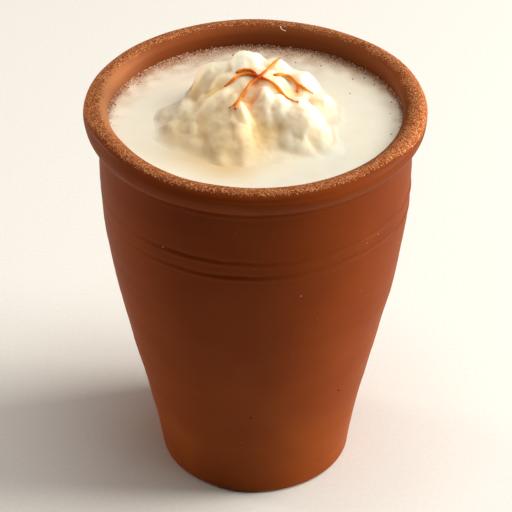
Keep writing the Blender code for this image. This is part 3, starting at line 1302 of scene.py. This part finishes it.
    def flake(self, x: float, y: float, size: float, tilt: float, seed: float) -> float:
        """Find how far a tilted flake stands out at a plan position.

        Args:
            x: the position along X.
            y: the position along Y.
            size: how wide the flakes are.
            tilt: how steep they are.
            seed: a number that keeps them apart from the other flakes.

        Returns:
            The height.
        """
        spot = Vector((x / size, y / size, seed))
        middle = noise.voronoi(spot)[1][0]
        tilt_x = noise.noise(middle * self.flake_seed)
        tilt_y = noise.noise(middle * self.flake_seed + Vector((0, 0, self.flake_turn)))
        out = (spot.x - middle.x) * tilt_x + (spot.y - middle.y) * tilt_y
        return 2 * tilt * size * out

    def softened(self, heights: np.ndarray, reach_mm: float) -> np.ndarray:
        """Round the creases of the height grid.

        Args:
            heights: one height for each point of the grid, row by row.
            reach_mm: how far the rounding reaches.

        Returns:
            The softened heights.
        """
        grid = heights.reshape(self.cells[1] + 1, self.cells[0] + 1)
        for axis, cells in ((0, self.cells[1]), (1, self.cells[0])):
            spread = reach_mm / (2 * self.half_sizes[1 - axis] / cells)
            offsets = np.arange(-round(3 * spread), round(3 * spread) + 1)
            weights = np.exp(-0.5 * (offsets / spread) ** 2)
            weights /= weights.sum()
            pad = [(0, 0), (0, 0)]
            pad[axis] = (len(offsets) // 2,) * 2
            wide = np.pad(grid, pad, mode="edge")
            grid = np.apply_along_axis(np.convolve, axis, wide, weights, "valid")
        return grid.ravel()

    def build(self, looks: Material) -> Object:
        """Make the heap.

        Args:
            looks: the clotted cream.

        Returns:
            The finished piece.
        """
        bm = bmesh.new()
        bmesh.ops.create_grid(bm, x_segments=self.cells[0], y_segments=self.cells[1], size=1)
        grid = np.array([(v.co.x, v.co.y) for v in bm.verts])
        x = self.centre[0] + grid[:, 0] * self.half_sizes[0]
        y = self.centre[1] + grid[:, 1] * self.half_sizes[1]
        height, tone = self.heights(x, y)
        height = self.softened(height, self.softness)
        rough = np.array([
            sum(self.flake(px, py, *flake) for flake in self.flakes) for px, py in zip(x, y)
        ])
        share = np.clip(height / self.flake_full, self.flake_least, 1)
        height = self.softened(height + rough * share, self.second_softness * self.softness)
        for vertex, px, py, pz in zip(bm.verts, x, y, self.footed(height)):
            vertex.co = (px, py, self.level + pz)
        for _ in range(self.smoothings):
            bmesh.ops.smooth_vert(bm, verts=bm.verts, factor=0.5, use_axis_z=True,
                                  use_axis_x=True, use_axis_y=True)
        bm.normal_update()
        self.tear(bm)
        self.mark(bm, tone)
        sunk = self.level - self.cut_depth
        low = [f for f in bm.faces if max(v.co.z for v in f.verts) < sunk]
        bmesh.ops.delete(bm, geom=low, context="FACES")
        self.close_below(bm)
        return finish_mesh("malai_heap", bm, looks)

    def tear(self, bm: bmesh.types.BMesh) -> None:
        """Push the skin in and out along its normals, so that its flanks are torn too.

        Args:
            bm: the heap's skin, with its normals up to date.
        """
        moved = []
        for vertex in bm.verts:
            push = sum(far * noise.noise(vertex.co / size) for far, size in self.torn)
            push *= clamp((vertex.co.z - self.level) / self.torn_full)
            moved.append(vertex.co + vertex.normal * push)
        for vertex, place in zip(bm.verts, moved):
            vertex.co = place

    def hollows(self, heights: np.ndarray) -> np.ndarray:
        """Find how far each point of the grid lies below what is round it.

        Args:
            heights: the height of each point, in rows and columns.

        Returns:
            The share of a full hollow, from nought to one.
        """
        side = 2 * self.hollow_window + 1
        padded = np.pad(heights, self.hollow_window, mode="edge")
        total = np.cumsum(np.cumsum(np.pad(padded, ((1, 0), (1, 0))), 0), 1)
        mean = (
            total[side:, side:] - total[:-side, side:] - total[side:, :-side]
            + total[:-side, :-side]
        ) / side ** 2
        rise = np.clip((heights - self.level) / self.hollow_rise, 0, 1)
        return np.clip((mean - heights) / self.hollow_depth, 0, 1) * rise

    def stained(self, place: Vector) -> float:
        """Find how much saffron has bled into the malai.

        Args:
            place: the point.

        Returns:
            The share, from nought to one.
        """
        swing, size = self.stain_ragged
        ragged = 1 + swing * noise.noise(place / size)
        nearest = min(
            math.hypot(place.x - spot.x, place.y - spot.y) / spot.reach for spot in self.stains
        )
        return math.exp(-(nearest * ragged) ** 2)

    def mark(self, bm: bmesh.types.BMesh, tone: np.ndarray) -> None:
        """Store each point's tone, with painted shade in hollows, its height and its stain.

        Args:
            bm: the heap's skin, its points still in the grid's order.
            tone: the clumps' tone at each point, partly painted shade.
        """
        hollow, stain, rise = new_layers(bm, "hollow", "stain", "rise")
        heights = np.array([v.co.z for v in bm.verts]).reshape(self.cells[1] + 1, -1)
        # Hollows are painted yellower: painted shade.
        deep = self.painted_recess_shade * self.hollows(heights).ravel()
        for vertex, amount in zip(bm.verts, np.clip(tone + deep, 0, 1)):
            vertex[hollow] = float(amount)
            vertex[rise] = clamp((vertex.co.z - self.level) / self.glow_rise)
            taken = self.stain_on_white + (1 - self.stain_on_white) * vertex[hollow]
            vertex[stain] = self.stain_strength * self.stained(vertex.co) * taken

    def close_below(self, bm: bmesh.types.BMesh) -> None:
        """Carry the open edge down into the drink and close it.

        Args:
            bm: the heap's skin.
        """
        loose = [v for v in bm.verts if not v.link_faces]
        bmesh.ops.delete(bm, geom=loose, context="VERTS")
        rim = [e for e in bm.edges if e.is_boundary]
        extruded = bmesh.ops.extrude_edge_only(bm, edges=rim)["geom"]
        lowered = [g for g in extruded if isinstance(g, bmesh.types.BMVert)]
        for vertex in lowered:
            vertex.co.z = self.level - self.sink
        bottom = [e for e in bm.edges if e.is_boundary]
        bmesh.ops.holes_fill(bm, edges=bottom, sides=0)
        bmesh.ops.triangulate(bm, faces=[f for f in bm.faces if len(f.verts) > 4])
        bmesh.ops.recalc_face_normals(bm, faces=bm.faces)


@dataclass
class LassiFill:
    """The drink: it fills the hollow to just into the clay, with a meniscus at the wall.

    Its froth is widest at the back, and a faint film of painted shade reaches far in towards
    the back and the left. The spread is to its right and to its left, in degrees.
    """

    cup: ClayCup
    heap: MalaiHeap
    into_wall: float = 0.5
    climb: float = 0.45
    climb_reach: float = 0.8
    side_top: float = 1.5
    sides: int = 256
    ring_step: float = 0.5
    top_band: float = 0.5
    shore_start: float = -1.1
    shore_depth: float = 1.1
    ripple: Pair = (0.07, 6.0)
    froth_least: float = 1.3
    froth_more: float = 5.0
    froth_middle: float = 80.0
    froth_spread: Pair = (37.0, 64.0)
    froth_ragged: Pair = (0.8, 3.1)
    froth_seed: float = 2.0
    froth_power: float = 1.3
    film_edge: float = 0.85
    # Painted shade: a faint film far in towards the back, stronger at the left.
    painted_far_shade: float = 0.07
    painted_far_shade_back: Pair = (2.0, 26.0)
    painted_far_shade_left: Pair = (-4.0, 12.0)

    def edge_radius(self) -> float:
        """Radius at which the drink meets the clay."""
        return self.cup.inner_radius(self.heap.level)

    def rise(self, radius: float) -> float:
        """How far the drink climbs near the wall."""
        return self.climb * math.exp(-max(0.0, self.edge_radius() - radius) / self.climb_reach)

    def froth_width(self, angle: float) -> float:
        """Find how wide the froth is, widest at the back and fading further round to the left.

        Args:
            angle: from +X towards +Y, in radians.

        Returns:
            The width.
        """
        away = math.degrees(angle) - self.froth_middle
        spread = self.froth_spread[0 if away < 0 else 1]
        return self.froth_least + self.froth_more * math.exp(-(away / spread) ** 2)

    def froth_share(self, x: float, y: float) -> float:
        """Find how frothy the drink is at a plan position, with painted shade far in at the back.

        Args:
            x: the position along X.
            y: the position along Y.

        Returns:
            The share, from nought to one.
        """
        inward = max(0.0, self.edge_radius() - math.hypot(x, y))
        swing, size = self.froth_ragged
        ragged = 1 + swing * noise.noise(Vector((x, y, self.froth_seed)) / size)
        width = self.froth_width(math.atan2(y, x)) * ragged
        # Painted shade: a faint film far in towards the back, stronger at the left.
        far = self.painted_far_shade * step_up(y, *self.painted_far_shade_back) * (1 + step_up(-x, *self.painted_far_shade_left))
        return self.film_edge * math.exp(-(inward / width) ** self.froth_power) + far

    def build(self, looks: Material) -> Object:
        """Make the drink.

        Args:
            looks: the lassi.

        Returns:
            The finished piece.
        """
        level = self.heap.level
        outline = self.cup.hollow(-self.into_wall, level - self.side_top)
        edge = self.edge_radius() + self.into_wall
        outline.append((edge, level + self.climb))
        count = round(edge / self.ring_step)
        for part in range(1, count):
            radius = edge * (1 - part / count)
            outline.append((radius, level + self.rise(radius)))
        outline.append((0.0, level))
        bm = spun(outline, self.sides)
        froth_and_shade, shore, shadow_share = new_layers(bm, "froth_and_shade", "shore", "shadow_share")
        tops = [v for v in bm.verts if v.co.z > level - self.top_band]
        near = np.array([(v.co.x, v.co.y) for v in tops])
        malai = self.heap.heights(near[:, 0], near[:, 1])[0]
        painted_shadows = self.heap.shadow_share(near[:, 0], near[:, 1])
        swing, size = self.ripple
        for vertex, height, painted_shadow in zip(tops, malai, painted_shadows):
            x, y = vertex.co.x, vertex.co.y
            vertex[froth_and_shade] = self.froth_share(x, y)
            vertex[shore] = clamp(1 + (height - self.shore_start) / self.shore_depth)
            # The painted shadow round the heap's foot.
            vertex[shadow_share] = float(painted_shadow)
            vertex.co.z += swing * noise.noise(Vector((x, y, 0)) / size)
        return finish_mesh("lassi_drink", bm, looks)


class SizeRange(NamedTuple):
    """Sizes of lumps: the least, how much more, and a power that keeps most of them small."""

    least: float
    more: float
    power: float = 1.0

    def draw(self, draw: random.Random) -> float:
        """Draw one size."""
        return self.least + self.more * draw.random() ** self.power


@dataclass
class Scatter:
    """Many small lumps of one stuff, joined in one mesh."""

    name: str
    looks: SpeckFinish
    batch: int = 100
    spots: list[Vector] = field(default_factory=list)
    sizes: list[Vector] = field(default_factory=list)

    def add(self, spot: Vector, width: float, height: float) -> None:
        """Add one lump, by its middle and its half sizes."""
        self.spots.append(spot)
        self.sizes.append(Vector((width, width, height)))

    def build(self, fineness: int = 1) -> Object:
        """Make the joined mesh.

        Args:
            fineness: subdivisions of each lump's ball.

        Returns:
            The finished piece.
        """
        bm = bmesh.new()
        gathered = bpy.data.meshes.new(self.name + "_part")
        for first in range(0, len(self.spots), self.batch):
            part = bmesh.new()
            last = first + self.batch
            for spot, size in zip(self.spots[first:last], self.sizes[first:last]):
                bmesh.ops.create_icosphere(
                    part, subdivisions=fineness, radius=1,
                    matrix=Matrix.LocRotScale(spot, None, size),
                )
            part.to_mesh(gathered)
            part.free()
            bm.from_mesh(gathered)
        bpy.data.meshes.remove(gathered)
        return finish_mesh(self.name, bm, self.looks.build())


@dataclass
class Froth:
    """What lies along the drink's edge.

    There are bubbles, dark specks that are the painted shade of open pores, a few of which
    drifted in, splashes on the clay just above, wet crumbs of clay, and a pale dried fleck
    inside the back rim.
    """

    drink: LassiFill
    view: PhotoView
    wall: BVHTree
    seed: int = 11
    bubbles: int = 700
    bubble_reach: float = 0.25
    bubble_sizes: SizeRange = SizeRange(0.08, 0.14, 3)
    bubble_flatness: float = 0.6
    splashes: int = 700
    splash_sizes: SizeRange = SizeRange(0.09, 0.11, 2)
    splash_height: float = 0.24
    splash_sunk: float = 0.02
    pore_shades: int = 420
    pore_reach: float = 0.34
    pore_sizes: SizeRange = SizeRange(0.1, 0.15, 2)
    pore_height: float = 0.06
    crumbs: int = 2400
    crumb_reach: float = 0.75
    crumb_sizes: SizeRange = SizeRange(0.11, 0.1, 2)
    crumb_height: float = 0.12
    lone_sizes: SizeRange = SizeRange(0.2, 0.1)
    lone_height: float = 0.12
    fleck_step: float = 0.3
    fleck: tuple[Pixel, ...] = ((280.2, 26.4), (281.0, 28.3), (282.6, 29.9), (285.4, 30.8))
    fleck_size: float = 0.13
    lone_pore_shades: tuple[Pixel, ...] = (
        (295.5, 62.5), (352.8, 79.0), (347.8, 66.0), (364.5, 78.2), (374.3, 85.0),
        (391.5, 102.3), (390.2, 113.6), (400.8, 113.4), (391.2, 134.4), (320.9, 65.8),
        (350.0, 93.4), (233.5, 54.2), (401.0, 126.5), (312.2, 57.0),
    )

    def scatter(self, count: int, spread: float, draw: random.Random) -> list[Pair]:
        """Draw plan positions as (angle, distance in from the wall).

        Args:
            count: how many.
            spread: how far in they reach, as a share of the froth's width.
            draw: the seeded generator.

        Returns:
            The positions.
        """
        found = []
        widest = self.drink.froth_least + self.drink.froth_more
        while len(found) < count:
            angle = draw.uniform(-math.pi, math.pi)
            width = self.drink.froth_width(angle)
            if draw.uniform(0, widest) < width:
                found.append((angle, abs(draw.gauss(0, 1)) * width * spread))
        return found

    def spot(self, angle: float, inward: float, above: float = 0.0) -> Vector:
        """Find a point near the edge of the drink.

        Args:
            angle: from +X towards +Y, in radians.
            inward: how far in from the clay it is.
            above: its height over the drink's surface.

        Returns:
            The point.
        """
        outward = Vector((math.cos(angle), math.sin(angle), 0))
        start = Vector((0, 0, self.drink.heap.level + self.drink.climb + above))
        radius = self.wall.ray_cast(start, outward)[3] - inward
        height = self.drink.heap.level + self.drink.rise(radius) + above
        return outward * radius + Vector((0, 0, height))

    def build(self) -> tuple[Object, Object, Object]:
        """Make the specks.

        Returns:
            The bubbles with the splashes and the fleck, the dark pore specks of painted shade, and
            the crumbs.
        """
        draw = random.Random(self.seed)
        bubbles = Scatter("froth_bubbles", FROTH_BUBBLE)
        for angle, inward in self.scatter(self.bubbles, self.bubble_reach, draw):
            size = self.bubble_sizes.draw(draw)
            bubbles.add(self.spot(angle, inward), size, self.bubble_flatness * size)
        for _ in range(self.splashes):
            angle = draw.uniform(-math.pi, math.pi)
            size = self.splash_sizes.draw(draw)
            above = abs(draw.gauss(0, 1)) * self.splash_height
            bubbles.add(self.spot(angle, self.splash_sunk, above), size, size)
        for pixel in smooth_way(self.fleck, self.fleck_step):
            bubbles.add(self.view.meet(self.wall, pixel), self.fleck_size, self.fleck_size)
        # Dark specks for open pores: painted shade.
        pore_shades = Scatter("froth_pore_shades", FROTH_PORE_SHADE)
        for angle, inward in self.scatter(self.pore_shades, self.pore_reach, draw):
            pore_shades.add(self.spot(angle, inward), self.pore_sizes.draw(draw), self.pore_height)
        crumbs = Scatter("clay_crumbs", CLAY_CRUMB)
        for _ in range(self.crumbs):
            angle = draw.uniform(-math.pi, math.pi)
            size = self.crumb_sizes.draw(draw)
            inward = abs(draw.gauss(0, 1)) * self.crumb_reach
            crumbs.add(self.spot(angle, inward), size, self.crumb_height)
        for pixel in self.lone_pore_shades:
            reach = (self.drink.heap.level - self.view.place().z) / self.view.direction(pixel).z
            spot = self.view.along(pixel, reach)
            pore_shades.add(spot, self.lone_sizes.draw(draw), self.lone_height)
        return bubbles.build(), pore_shades.build(), crumbs.build()


@dataclass
class ClayMarks:
    """Dark specks, painted shade of open pores, and pale grains in the cup's wall."""

    view: PhotoView
    surface: BVHTree
    seed: int = 5
    pore_pixels: tuple[Pixel, ...] = ((230.0, 374.0), (251.0, 418.0), (338.6, 390.0))
    grain_pixels: tuple[Pixel, ...] = (
        (163.0, 247.0), (367.0, 243.0), (378.0, 234.0), (301.0, 296.0),
    )
    pore_size: float = 0.272
    grain_size: float = 0.16
    scattered: int = 80
    scattered_sizes: Pair = (0.05, 0.12)
    scattered_heights: Pair = (4.0, 101.0)
    far_out: float = 80.0

    def build(self) -> tuple[Object, Object]:
        """Make the marks on the cup's skin.

        Returns:
            The painted pore shades and the grains.
        """
        draw = random.Random(self.seed)
        # Dark specks for open pores: painted shade.
        pore_shades = Scatter("clay_pore_shades", CLAY_PORE_SHADE)
        grains = Scatter("clay_grains", CLAY_GRAIN)
        for pixel in self.pore_pixels:
            pore_shades.add(self.view.meet(self.surface, pixel), self.pore_size, self.pore_size)
        for pixel in self.grain_pixels:
            grains.add(self.view.meet(self.surface, pixel), self.grain_size, self.grain_size)
        for number in range(self.scattered):
            angle = draw.uniform(0, math.tau)
            outward = Vector((math.cos(angle), math.sin(angle), 0))
            start = outward * self.far_out + Vector((0, 0, draw.uniform(*self.scattered_heights)))
            spot = self.surface.ray_cast(start, -outward)[0]
            size = draw.uniform(*self.scattered_sizes)
            marks = grains if number % 3 else pore_shades
            marks.add(spot, size, size)
        return pore_shades.build(), grains.build()


class Thread(enum.Enum):
    """The saffron threads, by the CAD node that each one replaces."""

    LONG = "saffron_long"
    ARC = "saffron_arc"
    SHORT = "saffron_short"
    SIDE = "saffron_side"


@dataclass(frozen=True)
class Strand:
    """One branch of a thread: its way in the photograph, width, lift, and how full its body is."""

    pixels: tuple[Pixel, ...]
    width: float
    lift: float = 0.0
    flare: float = 1.0


HUB: Pixel = (259.1, 76.6)
STRANDS: dict[Thread, tuple[Strand, ...]] = {
    Thread.LONG: (
        Strand(((280.2, 58.0), (275.5, 61.2), (269.5, 67.5), HUB, (249.3, 84.3), (244.6, 91.5),
                (240.2, 98.3), (233.2, 105.4), (229.0, 107.8)), 1.0, 0.45, 0.75),
        Strand(((238.0, 100.5), (236.2, 104.5), (234.6, 109.6)), 0.7),
    ),
    Thread.ARC: (
        Strand(((224.4, 86.4), (232.5, 80.1), (239.5, 75.2), (249.3, 73.8), HUB,
                (269.6, 80.8), (277.4, 87.1), (285.8, 96.9), (294.2, 101.1), (298.4, 102.2)),
               0.95, 0.0, 0.8),
    ),
    Thread.SHORT: (
        Strand(((236.0, 72.7), (240.2, 70.6), (245.5, 69.6), (250.7, 70.3), (256.5, 74.2)), 0.85),
    ),
    Thread.SIDE: (
        Strand(((273.5, 74.5), (283.7, 74.8), (290.7, 77.3), (297.7, 83.6), (308.2, 90.6),
                (312.8, 93.4)), 0.95, 0.0, 0.8),
        Strand(((293.2, 79.8), (296.7, 84.3), (297.7, 92.7)), 0.6),
    ),
}


@dataclass
class SaffronThreads:
    """The threads, each an uneven fibrous tube that bridges the heap's hollows.

    They are deep red at the crossing and at their tips. Fibres have how far and how wide.
    """

    view: PhotoView
    pixel_step: float = 0.9
    near_span: int = 2
    smooth_span: int = 6
    rest_share: float = 0.3
    lift_share: float = 0.3
    tip_width: float = 0.45
    tip_share: float = 0.16
    uneven: Pair = (0.12, 19.0)
    roundness: int = 3
    fibres: tuple[Pair, ...] = ((0.09, 0.7), (0.04, 0.3))
    red_least: float = 0.05
    red_reach: float = 4.6
    dark_tip: Pair = (0.1, 0.9)

    def route(self, surface: BVHTree, strand: Strand) -> list[Vector]:
        """A strand's axis in space, on or just above the malai.

        Args:
            surface: the heap's skin.
            strand: the strand.

        Returns:
            The axis's points.
        """
        way = smooth_way(strand.pixels, self.pixel_step)
        last = len(way) - 1
        raw = [self.view.reach(surface, pixel) for pixel in way]
        known = [index for index, reach in enumerate(raw) if reach is not None]
        reaches = [
            raw[min(known, key=lambda place: abs(place - index))] for index in range(len(way))
        ]
        span = self.near_span
        nearest = [
            min(reaches[max(0, index - span):index + span + 1]) for index in range(len(way))
        ]
        route = []
        for index, pixel in enumerate(way):
            span = min(self.smooth_span, index, last - index)
            window = nearest[index - span:index + span + 1]
            reach = min(sum(window) / len(window), nearest[index])
            over = step_up(min(index, last - index) / last, 0.0, self.lift_share)
            lift = strand.width * self.rest_share + strand.lift * over
            route.append(self.view.along(pixel, reach - lift))
        return route

    def width_share(self, strand: Strand, share: float) -> float:
        """Find the width along a strand, from its thin ends to its middle.

        Args:
            strand: the strand.
            share: how far along it, from nought to one.

        Returns:
            The width there, as a share of the strand's own.
        """
        full = step_up(min(share, 1 - share), 0, self.tip_share)
        swing, pace = self.uneven
        body = self.tip_width + (1 - self.tip_width) * full
        return strand.flare * body + swing * math.sin(share * pace)

    def tube(self, name: str, strands: list[tuple[Strand, list[Vector]]]) -> bmesh.types.BMesh:
        """Sweep a thread's strands as capped round tubes.

        Args:
            name: the thread's name.
            strands: each strand with its axis.

        Returns:
            The tubes in millimetres.
        """
        curve = bpy.data.curves.new(name, "CURVE")
        curve.dimensions = "3D"
        curve.bevel_depth = 0.5 * MM
        curve.bevel_resolution = self.roundness
        curve.use_fill_caps = True
        for strand, route in strands:
            line = curve.splines.new("POLY")
            line.points.add(len(route) - 1)
            for index, (point, spot) in enumerate(zip(line.points, route)):
                point.co = (*(spot * MM), 1)
                point.radius = strand.width * self.width_share(strand, index / (len(route) - 1))
        carrier = link_object(bpy.data.objects.new("thread_way", curve))
        graph = bpy.context.evaluated_depsgraph_get()
        mesh = bpy.data.meshes.new_from_object(carrier.evaluated_get(graph))
        bpy.data.objects.remove(carrier)
        bm = bmesh.new()
        bm.from_mesh(mesh)
        bmesh.ops.remove_doubles(bm, verts=bm.verts, dist=SAME_PLACE * MM)
        bmesh.ops.scale(bm, vec=(1 / MM, 1 / MM, 1 / MM), verts=bm.verts)
        return bm

    def build(self, thread: Thread, surface: BVHTree, looks: Material) -> Object:
        """Make one thread.

        Args:
            thread: which one.
            surface: the heap's skin.
            looks: the saffron.

        Returns:
            The finished piece.
        """
        hub = self.view.meet(surface, HUB)
        routes = [self.route(surface, strand) for strand in STRANDS[thread]]
        tips = [routes[0][0], *(route[-1] for route in routes)]
        bm = self.tube(thread.value, list(zip(STRANDS[thread], routes)))
        along, = new_layers(bm, "along")
        for vertex in bm.verts:
            push = sum(far * noise.noise(vertex.co / size) for far, size in self.fibres)
            vertex.co += vertex.normal * push
            from_hub = clamp(self.red_least + (vertex.co - hub).length / self.red_reach)
            from_tip = min((vertex.co - tip).length for tip in tips)
            vertex[along] = from_hub * step_up(from_tip, *self.dark_tip)
        return finish_mesh(thread.value + "_thread", bm, looks)


@dataclass(frozen=True)
class Lamp:
    """A rectangular soft light: its place and size in metres, its power in watts and colour."""

    name: str
    place: tuple[float, float, float]
    size: Pair
    power: float
    colour: str

    def build(self, aim: Vector) -> None:
        """Make the light.

        Args:
            aim: the point in metres that it faces.
        """
        data = bpy.data.lights.new(self.name, "AREA")
        data.shape = "RECTANGLE"
        data.size, data.size_y = self.size
        data.energy = self.power
        data.color = srgb(self.colour)[:3]
        lamp = link_object(bpy.data.objects.new(self.name, data))
        lamp.location = self.place
        lamp.rotation_euler = (aim - Vector(self.place)).to_track_quat("-Z", "Y").to_euler()


@dataclass
class Studio:
    """A pale floor, soft lights that face the cup, and the glow of the room."""

    floor_size: float = 6.0
    aim_height: float = 0.09
    lamps: tuple[Lamp, ...] = (
        Lamp("key", (0.95, 0.05, 1.15), (0.8, 0.8), 12.9, "FFFDF8"),
        Lamp("side", (1.3, 0.1, 0.24), (0.5, 0.35), 25.6, "FFF6E2"),
        Lamp("left", (-1.1, 0.45, 0.14), (0.3, 0.25), 10.0, "FFF0DC"),
        Lamp("top", (0.1, -0.05, 1.35), (0.7, 0.7), 7.6, "FFFCF6"),
    )
    air: str = "FFF2E2"
    air_strength: float = 0.073

    def build(self) -> None:
        """Make the floor, the lights and the surroundings."""
        bm = bmesh.new()
        bmesh.ops.create_grid(bm, x_segments=2, y_segments=2, size=self.floor_size / 2)
        mesh = bpy.data.meshes.new("studio_floor")
        bm.to_mesh(mesh)
        bm.free()
        link_mesh("studio_floor", mesh, STUDIO_PAPER.build())
        for lamp in self.lamps:
            lamp.build(Vector((0, 0, self.aim_height)))
        world = bpy.data.worlds.new("studio_air")
        world.use_nodes = True
        fill_inputs(world.node_tree, world.node_tree.nodes["Background"], {
            "Color": srgb(self.air), "Strength": self.air_strength,
        })
        bpy.context.scene.world = world
        bpy.context.scene.view_settings.view_transform = "Standard"


def main() -> None:
    """Build every piece in order."""
    logging.basicConfig(level=logging.INFO, format="%(name)s %(message)s")
    view = PhotoView()
    view.build()
    cup = ClayCup()
    heap = MalaiHeap()
    drink = LassiFill(cup, heap)
    cup_piece = cup.build(FiredClay().build(), heap.level)
    settle(cup_piece, "terracotta", "clay_cup")
    settle(drink.build(CreamyDrink().build()), "lassi", "lassi")
    heap_piece = heap.build(ClottedCream().build())
    settle(heap_piece, "malai", "malai_mound")
    surface = surface_of(heap_piece)
    saffron = SoakedSaffron().build()
    threads = SaffronThreads(view)
    for thread in Thread:
        settle(threads.build(thread, surface, saffron), "saffron", thread.value)
    skin = surface_of(cup_piece)
    bubbles, pore_shades, crumbs = Froth(drink, view, skin).build()
    settle(bubbles, "lassi")
    settle(pore_shades, "lassi")
    settle(crumbs, "terracotta")
    for piece in ClayMarks(view, skin).build():
        settle(piece, "terracotta")
    Studio().build()


if __name__ == "__main__":
    main()
